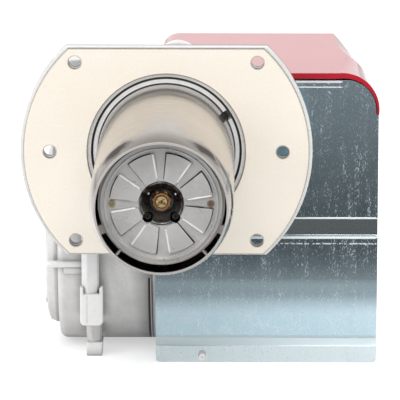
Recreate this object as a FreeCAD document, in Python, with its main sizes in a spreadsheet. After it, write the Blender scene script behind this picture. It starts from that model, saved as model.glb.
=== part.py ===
import FreeCAD, Part
import math
import os
import Sketcher

# Light-oil pressure-jet burner with a scroll fan, built in its own frame in millimetres.
# The origin is the centre of the gasket's front face, on the axis of the blast tube.
# -Y points into the boiler, +Z is up, and the pump and motor sit on the +X side.

SIZES = {
    # boiler flange and its gasket
    "gasket_radius": 146.8,
    "gasket_half_height": 107.5,
    "gasket_bore_gap": 10.9,
    "gasket_thickness": 5.0,
    "flange_radius": 150.0,
    "flange_half_height": 109.0,
    "flange_thickness": 11.0,
    "bolt_half_width": 93.3,
    "bolt_half_height": 93.0,
    "bolt_side_reach": 119.5,
    "bolt_hole_radius": 6.5,
    # split clamp collar that grips the tube behind the flange
    "collar_wall": 6.4,
    "clamp_wall": 14.0,
    "collar_length": 14.0,
    "collar_gap": 10.0,
    "collar_gap_angle": 31.0,
    "collar_screw_radius": 2.5,
    "collar_screw_head_radius": 4.5,
    "collar_screw_length": 34.0,
    # blast tube
    "tube_radius": 70.0,
    "tube_wall": 1.6,
    "tube_front": 265.0,
    "nose_length": 34.0,
    "nose_draw": 5.2,
    "rim_bead": 0.4,
    # combustion head
    "disc_setback": 25.0,
    "disc_inset": 15.0,
    "disc_sheet": 1.5,
    "disc_rim_height": 5.6,
    "disc_rim_width": 1.4,
    "vane_count": 8,
    "vane_inner_radius": 22.3,
    "vane_rim": 5.5,
    "vane_angle": 33.0,
    "vane_lift": 3.0,
    "vane_slope": 2.2,
    "vane_sheet": 1.2,
    "vane_slot_angle": 6.0,
    "vane_gap_angle": 1.4,
    "vane_gap": 1.0,
    "hub_radius": 20.2,
    "head_ring_inset": 8.8,
    "head_ring_step": 2.6,
    "head_ring_recess": 1.2,
    "head_ring_length": 12.0,
    "spacer_width": 2.2,
    "spacer_wide_width": 9.0,
    "spacer_angle": 40.0,
    "spacer_wide_angle": 65.0,
    "cup_depth": 15.0,
    "cup_wall": 1.4,
    "cup_throat_radius": 9.4,
    "cup_lip_radius": 1.5,
    "cup_hole_radius": 1.1,
    "cup_hole_reach": 14.1,
    "cup_hole_spacing": 37.0,
    "disc_screw_inset": 7.5,
    "disc_screw_radius": 3.4,
    "bracket_toe": 3.6,
    # nozzle line and ignition
    "nozzle_radius": 8.3,
    "nozzle_setback": 30.5,
    "nozzle_length": 18.0,
    "holder_radius": 10.0,
    "holder_length": 38.0,
    "gun_radius": 6.0,
    "gun_tail": 22.0,
    "electrode_reach": 13.3,
    "electrode_drop": 14.2,
    "electrode_radius": 1.2,
    "insulator_radius": 4.5,
    "insulator_length": 96.0,
    "notch_radius": 5.0,
    "lead_radius": 2.75,
    "lead_bend": 22.0,
    # fan housing casting
    "fan_y": 165.0,
    "fan_z": -122.0,
    "scroll_left": -116.0,
    "scroll_right": -16.0,
    "scroll_radius": 110.0,
    "scroll_step": 10.0,
    "cast_wall": 4.0,
    "scroll_round": 7.0,
    "face_left": -118.0,
    "face_right": 84.0,
    "face_top": 90.0,
    "face_bottom": -84.0,
    "face_thickness": 9.7,
    "face_corner": 24.0,
    "neck_wall": 6.0,
    "plenum_top": 69.0,
    "plenum_bottom": -72.0,
    "plenum_right": 78.0,
    "plenum_rear": 150.0,
    "inlet_radius": 52.0,
    "motor_plate_thickness": 5.0,
    # cast lug, strap and foot
    "lug_center_x": 10.5,
    "lug_half_width": 23.0,
    "lug_height": 27.0,
    "lug_rim": 7.5,
    "lug_front": 104.0,
    "lug_thickness": 13.0,
    "strap_left": -89.0,
    "strap_width": 17.0,
    "strap_front": 50.0,
    "strap_bottom": -158.0,
    "block_left": -91.5,
    "block_width": 23.0,
    "block_top": -160.0,
    "block_bottom": -196.0,
    "block_front": 54.0,
    "foot_front": 88.0,
    "foot_depth": 18.0,
    "foot_width": 16.0,
    "foot_center_x": -78.0,
    "bead_radius": 4.5,
    "bead_z": -139.0,
    # side inlet cover and its rotary shutter
    "inlet_cover_radius": 97.0,
    "inlet_cover_depth": 13.0,
    "inlet_cover_wall": 2.5,
    "inlet_cover_round": 9.0,
    "window_inner_radius": 20.0,
    "window_outer_radius": 46.0,
    "window_count": 4,
    "window_angle": 42.0,
    "shutter_radius": 50.0,
    "shutter_sheet": 1.5,
    "shutter_travel": 45.0,
    "knob_reach": 64.0,
    "knob_radius": 5.0,
    "pivot_radius": 4.0,
    # fan wheel
    "wheel_radius": 75.0,
    "wheel_inner_radius": 60.0,
    "wheel_width": 60.0,
    "wheel_left": -104.0,
    "wheel_sheet": 1.6,
    "blade_count": 30,
    "blade_sheet": 1.2,
    "hub_boss_radius": 16.0,
    "hub_boss_length": 24.0,
    # motor
    "shaft_radius": 6.0,
    "motor_radius": 46.0,
    "motor_length": 107.0,
    "motor_wall": 2.5,
    "end_bell_length": 11.0,
    "rotor_radius": 24.5,
    "rotor_length": 58.0,
    "stator_bore": 25.2,
    "bearing_radius": 14.0,
    "bearing_width": 9.0,
    "capacitor_radius": 14.0,
    "capacitor_length": 58.0,
    # pump
    "pump_gap": 18.0,
    "pump_length": 44.0,
    "pump_half_depth": 29.0,
    "pump_half_height": 30.0,
    "pump_cover_radius": 24.0,
    "pump_cover_length": 9.0,
    "pump_shaft_radius": 4.0,
    "coupling_radius": 12.0,
    "bracket_ring_radius": 27.0,
    "coil_size": 32.0,
    "coil_height": 36.0,
    "outlet_offset": 15.0,
    "port_inset": 11.0,
    "pressure_screw_drop": 8.0,
    "outlet_inset": 9.0,
    "port_radius": 8.0,
    "port_bore": 5.5,
    "port_length": 16.0,
    "pipe_radius": 3.0,
    "pipe_bend": 12.0,
    # galvanised shield, tray and shelf
    "sheet": 1.2,
    "shield_y": 50.0,
    "shield_left": -12.8,
    "shield_right": 219.4,
    "shield_top": 66.0,
    "shield_corner": 32.0,
    "shield_hem": 7.0,
    "hem_right": 187.0,
    "joggle_top": -80.0,
    "joggle_bottom": -101.0,
    "joggle_depth": 3.0,
    "curve_top": -147.0,
    "curve_bottom": -214.0,
    "curve_radius": 150.0,
    "strip_top": -221.0,
    "floor_z": -239.0,
    "notch_gap": 2.0,
    "tray_edge": 26.0,
    "shelf_z": -32.0,
    "shelf_right": 200.0,
    "shelf_front": 62.0,
    "shelf_rear": 270.0,
    "shelf_flange": 22.0,
    "shelf_screw_inset": 14.0,
    "shelf_screw_drop": 12.0,
    "strip_corner": 4.5,
    "hose_hole_depth": 36.0,
    # red cover
    "cover_left": -9.4,
    "cover_left_round": 18.0,
    "cover_front": 45.0,
    "cover_rear": 283.0,
    "cover_top": 74.0,
    "cover_flat_right": 176.7,
    "cover_right": 219.9,
    "cover_shoulder_z": 34.4,
    "cover_side": 218.9,
    "cover_side_z": 14.0,
    "cover_cheek_z": 30.0,
    "cover_flatness": 0.43,
    "cover_flare_y": 150.0,
    "cover_flare_flat_right": 188.0,
    "cover_flare_side": 212.0,
    "cover_flare_side_z": 24.0,
    "cover_flare_flatness": 0.58,
    "cover_waist_y": 225.0,
    "cover_waist_flat_right": 179.4,
    "cover_waist_side": 208.0,
    "cover_waist_side_z": 34.0,
    "cover_waist_flatness": 4.0,
    "cover_rear_flat_right": 178.0,
    "cover_rear_flatness": 3.4,
    "cover_rear_side": 215.0,
    "cover_rear_side_z": 20.0,
    "cover_wall": 1.5,
    "cover_lip": 6.0,
    "cover_floor_gap": 3.0,
    "cover_notch_right": 36.0,
    "cover_notch_rear": 135.0,
    "cover_opening_rear": 154.0,
    "hose_opening_left": 76.0,
    "hose_opening_width": 80.0,
    "hose_opening_height": 52.0,
    # control gear
    "control_left": 96.0,
    "control_width": 90.0,
    "control_height": 62.0,
    "control_depth": 58.0,
    "control_rear": 262.0,
    "base_height": 12.0,
    "button_radius": 7.0,
    "button_stroke": 2.5,
    "transformer_left": 96.0,
    "transformer_width": 84.0,
    "transformer_depth": 64.0,
    "transformer_height": 66.0,
    "transformer_front": 70.0,
    "sensor_x": 42.0,
    "sensor_z": 24.0,
    "sensor_radius": 7.0,
    "sensor_reach": 24.0,
    "sensor_tail": 22.0,
    "gland_radius": 11.0,
    # screws
    "screw_radius": 2.0,
    "screw_head_radius": 4.4,
    "screw_head_height": 2.6,
    # fits
    "running_fit": 0.08,
    "seat_gap": 0.3,
    "slide_gap": 0.5,
}

doc = FreeCAD.newDocument("oil_burner")
sheet = doc.addObject("Spreadsheet::Sheet", "Sizes")


class Length:
    """A size with its number and the same thing written as a binding."""

    def __init__(self, value, text):
        self.value = value
        self.text = text

    def __add__(self, other):
        other = length(other)
        return Length(self.value + other.value, "(%s + %s)" % (self.text, other.text))

    def __sub__(self, other):
        other = length(other)
        return Length(self.value - other.value, "(%s - %s)" % (self.text, other.text))

    def __mul__(self, other):
        other = length(other)
        return Length(self.value * other.value, "(%s * %s)" % (self.text, other.text))

    def __truediv__(self, other):
        other = length(other)
        return Length(self.value / other.value, "(%s / %s)" % (self.text, other.text))

    def __radd__(self, other):
        return length(other) + self

    def __rsub__(self, other):
        return length(other) - self

    def __rmul__(self, other):
        return length(other) * self

    def __rtruediv__(self, other):
        return length(other) / self

    def __neg__(self):
        return Length(-self.value, "(0 - %s)" % self.text)

    def __float__(self):
        return float(self.value)


def length(value):
    """Turn a plain number into a Length."""
    if isinstance(value, Length):
        return value
    return Length(float(value), "(%r)" % float(value))


def cosine(degrees):
    angle = length(degrees)
    return Length(math.cos(math.radians(angle.value)), "cos(%s * 1 deg)" % angle.text)


def sine(degrees):
    angle = length(degrees)
    return Length(math.sin(math.radians(angle.value)), "sin(%s * 1 deg)" % angle.text)


def root(value):
    return Length(math.sqrt(value.value), "sqrt(%s)" % value.text)


class Sheet:
    """Reads one size of the sheet by its name."""

    def __getattr__(self, name):
        return Length(float(SIZES[name]), "Sizes." + name)


def fill_sheet():
    """Write every driving size to the sheet as a named plain number."""
    for row, (name, value) in enumerate(SIZES.items(), start=1):
        sheet.set("A%d" % row, name)
        sheet.set("B%d" % row, str(value))
        sheet.setAlias("B%d" % row, name)
    doc.recompute()


fill_sheet()
d = Sheet()


# Helpers that draw and build
def bind(thing, prop, value):
    thing.setExpression(prop, length(value).text)


def body(label, x=0, y=0, z=0):
    """A new body, placed from the sizes."""
    piece = doc.addObject("PartDesign::Body", label)
    piece.Label = label
    bind(piece, "Placement.Base.x", x)
    bind(piece, "Placement.Base.y", y)
    bind(piece, "Placement.Base.z", z)
    return piece


def drawing(piece, plane, offset=0):
    """A sketch on one of the body's own planes, offset along +X, +Y or +Z."""
    paper = piece.newObject("Sketcher::SketchObject", piece.Label + "_drawing")
    role = plane + "_Plane"
    support = [item for item in piece.Origin.OriginFeatures if item.Role == role][0]
    paper.AttachmentSupport = [(support, "")]
    paper.MapMode = "FlatFace"
    along = -length(offset) if plane == "XZ" else length(offset)
    bind(paper, "AttachmentOffset.Base.z", along)
    return paper


def fix_point(paper, edge, end, x, y):
    """Hold one end of an edge at a place worked out from the sizes."""
    for kind, value in (("DistanceX", length(x)), ("DistanceY", length(y))):
        index = paper.addConstraint(Sketcher.Constraint(kind, -1, 1, edge, end, value.value))
        paper.setExpression("Constraints[%d]" % index, value.text)


def circle(paper, x, y, radius):
    """A full circle whose centre and radius follow the sizes."""
    center = FreeCAD.Vector(float(x), float(y), 0)
    round_edge = Part.Circle(center, FreeCAD.Vector(0, 0, 1), float(radius))
    edge = paper.addGeometry(round_edge, False)
    fix_point(paper, edge, 3, x, y)
    index = paper.addConstraint(Sketcher.Constraint("Radius", edge, float(radius)))
    paper.setExpression("Constraints[%d]" % index, length(radius).text)


def arc_to(x, y, center_x, center_y):
    """An outline corner that an arc about the given centre leads to."""
    return (x, y, center_x, center_y)


def outline(paper, corners):
    """A closed outline of straight runs and arcs, each corner held by the sizes."""
    count = len(corners)
    ends = []
    for index in range(count):
        start = corners[index]
        stop = corners[(index + 1) % count]
        first = FreeCAD.Vector(float(start[0]), float(start[1]), 0)
        last = FreeCAD.Vector(float(stop[0]), float(stop[1]), 0)
        if len(stop) == 2:
            edge = paper.addGeometry(Part.LineSegment(first, last), False)
            ends.append((edge, 1, 2))
            continue
        center = FreeCAD.Vector(float(stop[2]), float(stop[3]), 0)
        turn_left = (first - center).cross(last - center).z > 0
        begin, finish = (first, last) if turn_left else (last, first)
        angle_a = math.atan2(begin.y - center.y, begin.x - center.x)
        angle_b = math.atan2(finish.y - center.y, finish.x - center.x)
        round_edge = Part.Circle(center, FreeCAD.Vector(0, 0, 1), (first - center).Length)
        edge = paper.addGeometry(Part.ArcOfCircle(round_edge, angle_a, angle_b), False)
        ends.append((edge, 1, 2) if turn_left else (edge, 2, 1))
        span_x = length(start[0]) - stop[2]
        span_y = length(start[1]) - stop[3]
        radius = root(span_x * span_x + span_y * span_y)
        paper.addConstraint(Sketcher.Constraint("Radius", edge, radius.value))
        paper.setExpression("Constraints[%d]" % (paper.ConstraintCount - 1), radius.text)
    for index in range(count):
        edge, begin, finish = ends[index]
        following, next_begin, _ = ends[(index + 1) % count]
        paper.addConstraint(
            Sketcher.Constraint("Coincident", edge, finish, following, next_begin)
        )
        fix_point(paper, edge, begin, corners[index][0], corners[index][1])


def box_outline(paper, left, bottom, right, top):
    outline(paper, [(left, bottom), (right, bottom), (right, top), (left, top)])


def rounded_outline(paper, left, bottom, right, top, corner):
    """A rectangle with four round corners."""
    inner_left = length(left) + corner
    inner_right = length(right) - corner
    inner_bottom = length(bottom) + corner
    inner_top = length(top) - corner
    outline(
        paper,
        [
            arc_to(inner_left, bottom, inner_left, inner_bottom),
            (inner_right, bottom),
            arc_to(right, inner_bottom, inner_right, inner_bottom),
            (right, inner_top),
            arc_to(inner_right, top, inner_right, inner_top),
            (inner_left, top),
            arc_to(left, inner_top, inner_left, inner_top),
            (left, inner_bottom),
        ],
    )


def pad(piece, plane, start, stop, draw):
    """Add material between two places along the plane's own axis."""
    paper = drawing(piece, plane, start)
    draw(paper)
    feature = piece.newObject("PartDesign::Pad", piece.Label + "_pad")
    feature.Profile = paper
    bind(feature, "Length", length(stop) - start)
    feature.Reversed = plane == "XZ"
    return feature


def cut(piece, plane, start, stop, draw):
    """Take material away between two places along the plane's own axis."""
    paper = drawing(piece, plane, start)
    draw(paper)
    feature = piece.newObject("PartDesign::Pocket", piece.Label + "_pocket")
    feature.Profile = paper
    bind(feature, "Length", length(stop) - start)
    feature.Reversed = plane != "XZ"
    return feature


def turn(piece, plane, axis, draw):
    """Spin an outline all the way round the sketch's own axis."""
    paper = drawing(piece, plane)
    draw(paper)
    feature = piece.newObject("PartDesign::Revolution", piece.Label + "_turned")
    feature.Profile = paper
    feature.ReferenceAxis = (paper, [axis])
    feature.Angle = 360
    return feature


def around(piece, features, role, count):
    """Repeat features evenly about one of the body's own axes."""
    axis = [item for item in piece.Origin.OriginFeatures if item.Role == role][0]
    pattern = piece.newObject("PartDesign::PolarPattern", piece.Label + "_pattern")
    pattern.Originals = features
    pattern.Axis = (axis, [""])
    pattern.Angle = 360
    bind(pattern, "Occurrences", count)
    piece.Tip = pattern
    return pattern


def round_edges(piece, radius, wanted):
    """Round the edges of the body that the test picks out."""
    doc.recompute()
    base = piece.Tip
    names = []
    for index, edge in enumerate(base.Shape.Edges, start=1):
        if wanted(edge):
            names.append("Edge%d" % index)
    feature = piece.newObject("PartDesign::Fillet", piece.Label + "_round")
    feature.Base = (base, names)
    bind(feature, "Radius", radius)
    return feature


# Boiler flange, gasket and tube clamp
def truncated_disc(paper, radius, half_height):
    """A round plate with its top and bottom cut straight."""
    half_chord = root(radius * radius - half_height * half_height)
    outline(
        paper,
        [
            (half_chord, -half_height),
            arc_to(half_chord, half_height, 0, 0),
            (-half_chord, half_height),
            arc_to(-half_chord, -half_height, 0, 0),
        ],
    )


def flange_plate(label, radius, half_height, bore, start, thickness):
    """A truncated round plate with the tube's bore and the six bolt holes."""
    piece = body(label)
    pad(piece, "XZ", start, start + thickness,
        lambda paper: truncated_disc(paper, radius, half_height))
    cut(piece, "XZ", start, start + thickness, lambda paper: circle(paper, 0, 0, bore))

    def holes(paper):
        for side in (-1, 1):
            circle(paper, side * d.bolt_side_reach, 0, d.bolt_hole_radius)
            for level in (-1, 1):
                circle(paper, side * d.bolt_half_width, level * d.bolt_half_height,
                       d.bolt_hole_radius)

    cut(piece, "XZ", start, start + thickness, holes)
    return piece


def collar_place(along, outward):
    """X and Z of a spot near the collar's gap, along the gap's tangent and radius."""
    across = cosine(d.collar_gap_angle)
    rise = sine(d.collar_gap_angle)
    return across * outward - rise * along, rise * outward + across * along


def tube_clamp_ring():
    """Split collar: a sleeve in the flange bore with a thicker clamp behind."""
    piece = body("tube_clamp_ring")
    bore = d.tube_radius + d.running_fit
    sleeve = flange_bore - d.running_fit
    front = d.gasket_thickness + 1
    rear = d.gasket_thickness + d.flange_thickness
    back = rear + d.collar_length
    turn(piece, "XY", "V_Axis", lambda paper: outline(paper, [
        (bore, front), (sleeve, front), (sleeve, rear),
        (collar_radius, rear), (collar_radius, back), (bore, back)]))
    half = d.collar_gap / 2
    inner = d.tube_radius - 6
    outer = collar_radius + 6
    spots = [collar_place(-half, inner), collar_place(-half, outer),
             collar_place(half, outer), collar_place(half, inner)]
    cut(piece, "XZ", front, back, lambda paper: outline(paper, spots))
    return piece


# Places worked out once and shared by the pieces that meet there
flange_rear = d.gasket_thickness + d.flange_thickness
gasket_bore = d.tube_radius + d.gasket_bore_gap
flange_bore = d.tube_radius + d.collar_wall
collar_radius = d.tube_radius + d.clamp_wall
neck_radius = d.tube_radius + d.neck_wall
nose_radius = d.tube_radius - d.nose_draw
disc_radius = d.tube_radius - d.disc_inset
vane_outer = disc_radius - d.vane_rim
disc_screw_reach = disc_radius - d.disc_screw_inset
head_ring_radius = d.tube_radius - d.head_ring_inset
head_ring_front = head_ring_radius - d.head_ring_step
face_front = flange_rear + d.collar_length + d.seat_gap
face_rear = face_front + d.face_thickness
neck_rear = d.shield_y + d.sheet
disc_front = d.disc_setback - d.tube_front
disc_back = disc_front + d.disc_sheet
nozzle_tip = d.nozzle_setback - d.tube_front
holder_front = nozzle_tip + d.nozzle_length
gun_front = holder_front + d.holder_length
gun_end = d.plenum_rear + d.gun_tail
insulator_front = nozzle_tip + 2
insulator_rear = insulator_front + d.insulator_length
tube_inside = d.tube_radius - d.tube_wall
motor_left = d.scroll_right + d.motor_plate_thickness
motor_right = motor_left + d.motor_length
bell_right = motor_right + d.end_bell_length
pump_left = bell_right + d.pump_gap
pump_right = pump_left + d.pump_length
shaft_end = bell_right + 8
wheel_right = d.wheel_left + d.wheel_width
cover_plate_left = d.scroll_left - d.inlet_cover_depth
dish_inside = cover_plate_left + d.inlet_cover_wall
tray_top = d.floor_z + d.sheet
cover_bottom = d.floor_z + d.cover_floor_gap
shelf_top = d.shelf_z + d.sheet
seat_fit = d.running_fit / 4
swept_drop = d.curve_top - d.curve_bottom
swept_back = d.curve_radius - root(d.curve_radius * d.curve_radius - swept_drop * swept_drop)
strip_front = d.shield_y + swept_back - 6
tray_rear = d.cover_rear - d.cover_wall - d.seat_gap
tray_left = d.cover_left + d.cover_wall + d.slide_gap
tray_right = d.cover_rear_side - d.cover_wall - d.slide_gap
shield_tuck = d.cover_side - d.cover_wall - d.slide_gap
cover_side_front = d.shield_y + d.joggle_depth + d.sheet + d.slide_gap
cover_foot_front = d.shield_y + swept_back + d.sheet + d.slide_gap
strip_screw_x = d.shield_left + 49
strip_screw_z = d.floor_z + 8
cover_screw_z = d.floor_z + 14
lead_turns = (d.transformer_front + 46, d.transformer_front + 18)


def polar(angle, radius):
    """The two in-plane places of a point at an angle and a radius."""
    return cosine(angle) * radius, sine(angle) * radius


def sector(paper, inner, outer, first, last, center_x=0, center_y=0):
    """A slice of a ring between two angles."""
    center = (length(center_x), length(center_y))

    def spot(angle, radius):
        x, y = polar(angle, radius)
        return center[0] + x, center[1] + y

    outline(paper, [
        arc_to(*spot(first, inner), *center), spot(first, outer),
        arc_to(*spot(last, outer), *center), spot(last, inner)])


def screw(label, head_radius, head_height, shank_radius, shank_length, facing):
    """A socket screw whose head faces away from the piece that it holds."""
    head = doc.addObject("Part::Cylinder", label + "_head")
    bind(head, "Radius", head_radius)
    bind(head, "Height", head_height)
    shank = doc.addObject("Part::Cylinder", label + "_shank")
    bind(shank, "Radius", shank_radius)
    bind(shank, "Height", length(shank_length) + 0.5)
    bind(shank, "Placement.Base.z", -length(shank_length))
    both = doc.addObject("Part::Fuse", label + "_blank")
    both.Base = head
    both.Tool = shank
    socket = doc.addObject("Part::Prism", label + "_socket")
    socket.Polygon = 6
    bind(socket, "Circumradius", length(head_radius) * 0.5)
    bind(socket, "Height", head_height)
    bind(socket, "Placement.Base.z", length(head_height) * 0.45)
    piece = doc.addObject("Part::Cut", label)
    piece.Base = both
    piece.Tool = socket
    piece.Placement = FreeCAD.Placement(FreeCAD.Vector(), facing)
    piece.Label = label
    return piece


TOWARD_BOILER = FreeCAD.Rotation(FreeCAD.Vector(1, 0, 0), 90)
TOWARD_REAR = FreeCAD.Rotation(FreeCAD.Vector(1, 0, 0), -90)
TOWARD_RIGHT = FreeCAD.Rotation(FreeCAD.Vector(0, 1, 0), 90)
TOWARD_LEFT = FreeCAD.Rotation(FreeCAD.Vector(0, 1, 0), -90)


def place(piece, x, y, z):
    bind(piece, "Placement.Base.x", x)
    bind(piece, "Placement.Base.y", y)
    bind(piece, "Placement.Base.z", z)


def group(label, pieces):
    """Like fasteners kept together as separate solids."""
    together = doc.addObject("Part::Compound", label)
    together.Label = label
    together.Links = pieces
    return together


def rod_section(center, along, radius):
    """The face across a rod, with twelve flat sides so that its bends stay light."""
    sides = 12
    along = FreeCAD.Vector(along).normalize()
    level = FreeCAD.Vector(0, 0, 1)
    if abs(along.dot(level)) > 0.9:
        level = FreeCAD.Vector(0, 1, 0)
    across = along.cross(level).normalize()
    corners = []
    for index in range(sides + 1):
        turned = FreeCAD.Rotation(along, 360 * index / sides)
        corners.append(center + turned.multVec(across) * radius)
    return Part.Face(Part.makePolygon(corners))


def bent_rod(label, spots, bend, radius):
    """A rod along straight runs joined by tangent bends."""
    points = [FreeCAD.Vector(float(x), float(y), float(z)) for x, y, z in spots]
    bend = float(bend)
    start = points[0]
    section = rod_section(start, points[1] - start, float(radius))
    parts = []
    for before, corner, after in zip(points, points[1:], points[2:]):
        toward = (before - corner).normalize()
        onward = (after - corner).normalize()
        turned = math.pi - toward.getAngle(onward)
        reach = bend * math.tan(turned / 2)
        first = corner + toward * reach
        hinge = corner + (toward + onward).normalize() * (bend / math.cos(turned / 2))
        axis = (corner - before).cross(after - corner).normalize()
        parts.append(section.extrude(first - start))
        section = section.translated(first - start)
        parts.append(section.revolve(hinge, axis, math.degrees(turned)))
        section.rotate(hinge, axis, math.degrees(turned))
        start = corner + onward * reach
    parts.append(section.extrude(points[-1] - start))
    piece = doc.addObject("Part::Feature", label)
    piece.Shape = parts[0].multiFuse(parts[1:]).removeSplitter()
    piece.Label = label
    return piece


def collar_screw():
    """The screw that draws the split collar shut, seen in the collar's gap."""
    tilt = FreeCAD.Rotation(FreeCAD.Vector(0, 1, 0), -d.collar_gap_angle.value)
    piece = screw("flange_clamp_screw", d.collar_screw_head_radius, 3.5,
                  d.collar_screw_radius, d.collar_screw_length - 6, tilt)
    outward = (d.tube_radius + collar_radius) / 2
    x, z = collar_place(d.collar_screw_length / 2 - 6, outward)
    place(piece, x, flange_rear + d.collar_length / 2, z)
    return piece


def collar_screw_holes(ring):
    """The clearance hole and the head's counterbore across the collar's gap."""
    outward = (d.tube_radius + collar_radius) / 2
    level = flange_rear + d.collar_length / 2
    seat = d.collar_screw_length / 2 - 6
    for start, stop, radius in (
        (-d.collar_screw_length / 2, d.collar_screw_length / 2, d.collar_screw_radius),
        (seat, seat + 16, d.collar_screw_head_radius),
    ):
        paper = drawing(ring, "XY")
        circle(paper, outward, level, radius + d.running_fit)
        turned = FreeCAD.Rotation(FreeCAD.Vector(0, -1, 0), d.collar_gap_angle.value)
        paper.AttachmentOffset = FreeCAD.Placement(FreeCAD.Vector(), turned)
        bind(paper, "AttachmentOffset.Rotation.Angle", d.collar_gap_angle)
        x, z = collar_place(start, 0)
        bind(paper, "AttachmentOffset.Base.x", x)
        bind(paper, "AttachmentOffset.Base.z", z)
        feature = ring.newObject("PartDesign::Pocket", "clamp_hole")
        feature.Profile = paper
        bind(feature, "Length", length(stop) - start)
        feature.Reversed = True


# Blast tube and combustion head
def blast_tube():
    """Polished tube whose nose draws in to a lipped mouth."""
    piece = body("blast_tube")
    draw_in = d.tube_radius - nose_radius
    sweep = (d.nose_length * d.nose_length + draw_in * draw_in) / (draw_in * 2)
    center = d.tube_radius - sweep
    shoulder = d.nose_length - d.tube_front
    front = -d.tube_front
    inner_sweep = sweep - d.tube_wall
    inner_reach = d.nose_length - d.tube_wall
    inner_edge = center + root(inner_sweep * inner_sweep - inner_reach * inner_reach)
    lip = nose_radius - d.tube_wall - d.rim_bead
    turn(piece, "XY", "V_Axis", lambda paper: outline(paper, [
        (d.tube_radius, neck_rear), (d.tube_radius, shoulder),
        arc_to(nose_radius, front, center, shoulder),
        (lip, front), (lip, front + d.tube_wall), (inner_edge, front + d.tube_wall),
        arc_to(tube_inside, shoulder, center, shoulder), (tube_inside, neck_rear)]))
    return piece


def electrode_notches(piece, start, stop):
    """Two scallops low in the hub that the electrodes reach through."""
    def notches(paper):
        for side in (-1, 1):
            circle(paper, side * d.electrode_reach, -d.electrode_drop, d.notch_radius)
    cut(piece, "XZ", start, stop, notches)


def diffuser_disc():
    """Pressed disc in a raised rim, with a ring of swirl vanes lifted off their slots."""
    piece = body("diffuser_disc")
    rim_inside = disc_radius - d.disc_rim_width
    rim_front = disc_front - d.disc_rim_height
    turn(piece, "XY", "V_Axis", lambda paper: outline(paper, [
        (d.hub_radius, disc_back), (d.hub_radius, disc_front), (rim_inside, disc_front),
        (rim_inside, rim_front), (disc_radius, rim_front), (disc_radius, disc_back)]))
    first = 180 / d.vane_count
    half = d.vane_angle / 2
    spread = sine(half) / cosine(half)
    raised = disc_front - d.vane_lift
    under = raised + d.vane_sheet
    seated = disc_front + d.disc_sheet / 4

    def vane_section(radius):
        """One vane's section: a sloped web at its hinge, then a flat plate to its free edge."""
        paper = drawing(piece, "YZ")
        wide = spread * radius
        web = d.vane_slope - wide
        outline(paper, [
            (seated, -wide), (raised, web), (raised, wide), (under, wide),
            (under, web + d.vane_sheet / 2), (seated, d.vane_sheet * 1.5 - wide)])
        turned = FreeCAD.Rotation(FreeCAD.Vector(-1, 0, 0), first.value)
        paper.AttachmentOffset = FreeCAD.Placement(FreeCAD.Vector(), turned)
        bind(paper, "AttachmentOffset.Rotation.Angle", first)
        along, across = polar(first, radius)
        bind(paper, "AttachmentOffset.Base.z", along)
        bind(paper, "AttachmentOffset.Base.y", across)
        return paper

    vane = piece.newObject("PartDesign::AdditiveLoft", "vane")
    vane.Profile = vane_section(d.vane_inner_radius)
    vane.Sections = [vane_section(vane_outer + d.vane_gap / 2)]
    vane.Ruled = True
    around(piece, [vane], "Y_Axis", d.vane_count)

    def beyond_vanes(paper):
        circle(paper, 0, 0, vane_outer)
        circle(paper, 0, 0, rim_inside - d.vane_gap / 4)
    cut(piece, "XZ", raised - 1, disc_front, beyond_vanes)
    slot = cut(piece, "XZ", disc_front, disc_back, lambda paper: sector(
        paper, d.vane_inner_radius + d.vane_gap, vane_outer + d.vane_gap,
        first - half + d.vane_slot_angle, first + half + d.vane_gap_angle))
    around(piece, [slot], "Y_Axis", d.vane_count)
    electrode_notches(piece, raised - 1, disc_back)

    def screw_holes(paper):
        for side in (-1, 1):
            circle(paper, side * disc_screw_reach, 0, d.disc_screw_radius * 0.6)
    cut(piece, "XZ", raised - 1, disc_back, screw_holes)
    return piece


def head_ring():
    """Stepped ring round the disc, centred in the tube by small spacers."""
    piece = body("head_ring")
    bore = disc_radius + d.seat_gap
    seat = disc_radius - 3
    sheet_wall = d.disc_sheet
    front = disc_front - d.disc_rim_height + d.head_ring_recess
    step = disc_front + 2
    rear = step + d.head_ring_length
    turn(piece, "XY", "V_Axis", lambda paper: outline(paper, [
        (seat, disc_back), (bore, disc_back), (bore, front),
        (head_ring_front, front), (head_ring_front, step),
        (head_ring_radius, step), (head_ring_radius, rear),
        (head_ring_radius - sheet_wall, rear),
        (head_ring_radius - sheet_wall, step + sheet_wall), (seat, step + sheet_wall)]))
    inner = head_ring_radius - sheet_wall / 2
    outer = tube_inside - d.seat_gap

    def spacers(paper):
        for angle, width in (
            (-90 - d.spacer_angle, d.spacer_width), (-90 + d.spacer_angle, d.spacer_width),
            (-90 - d.spacer_wide_angle, d.spacer_wide_width),
            (-90 + d.spacer_wide_angle, d.spacer_wide_width),
            (90 - d.spacer_angle, d.spacer_width), (90 + d.spacer_angle, d.spacer_width),
        ):
            across = cosine(angle)
            rise = sine(angle)
            half = width / 2
            outline(paper, [
                (across * inner + rise * half, rise * inner - across * half),
                (across * outer + rise * half, rise * outer - across * half),
                (across * outer - rise * half, rise * outer + across * half),
                (across * inner - rise * half, rise * inner + across * half)])

    pad(piece, "XZ", step + 2, rear - 1, spacers)
    return piece


def disc_screws():
    pieces = []
    for name, side in (("disc_screw_left", -1), ("disc_screw_right", 1)):
        piece = screw(name, d.disc_screw_radius, 2.2, d.disc_screw_radius * 0.55,
                      d.disc_sheet + 5, TOWARD_BOILER)
        place(piece, side * disc_screw_reach, disc_front, 0)
        pieces.append(piece)
    return group("disc_screws", pieces)


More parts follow.
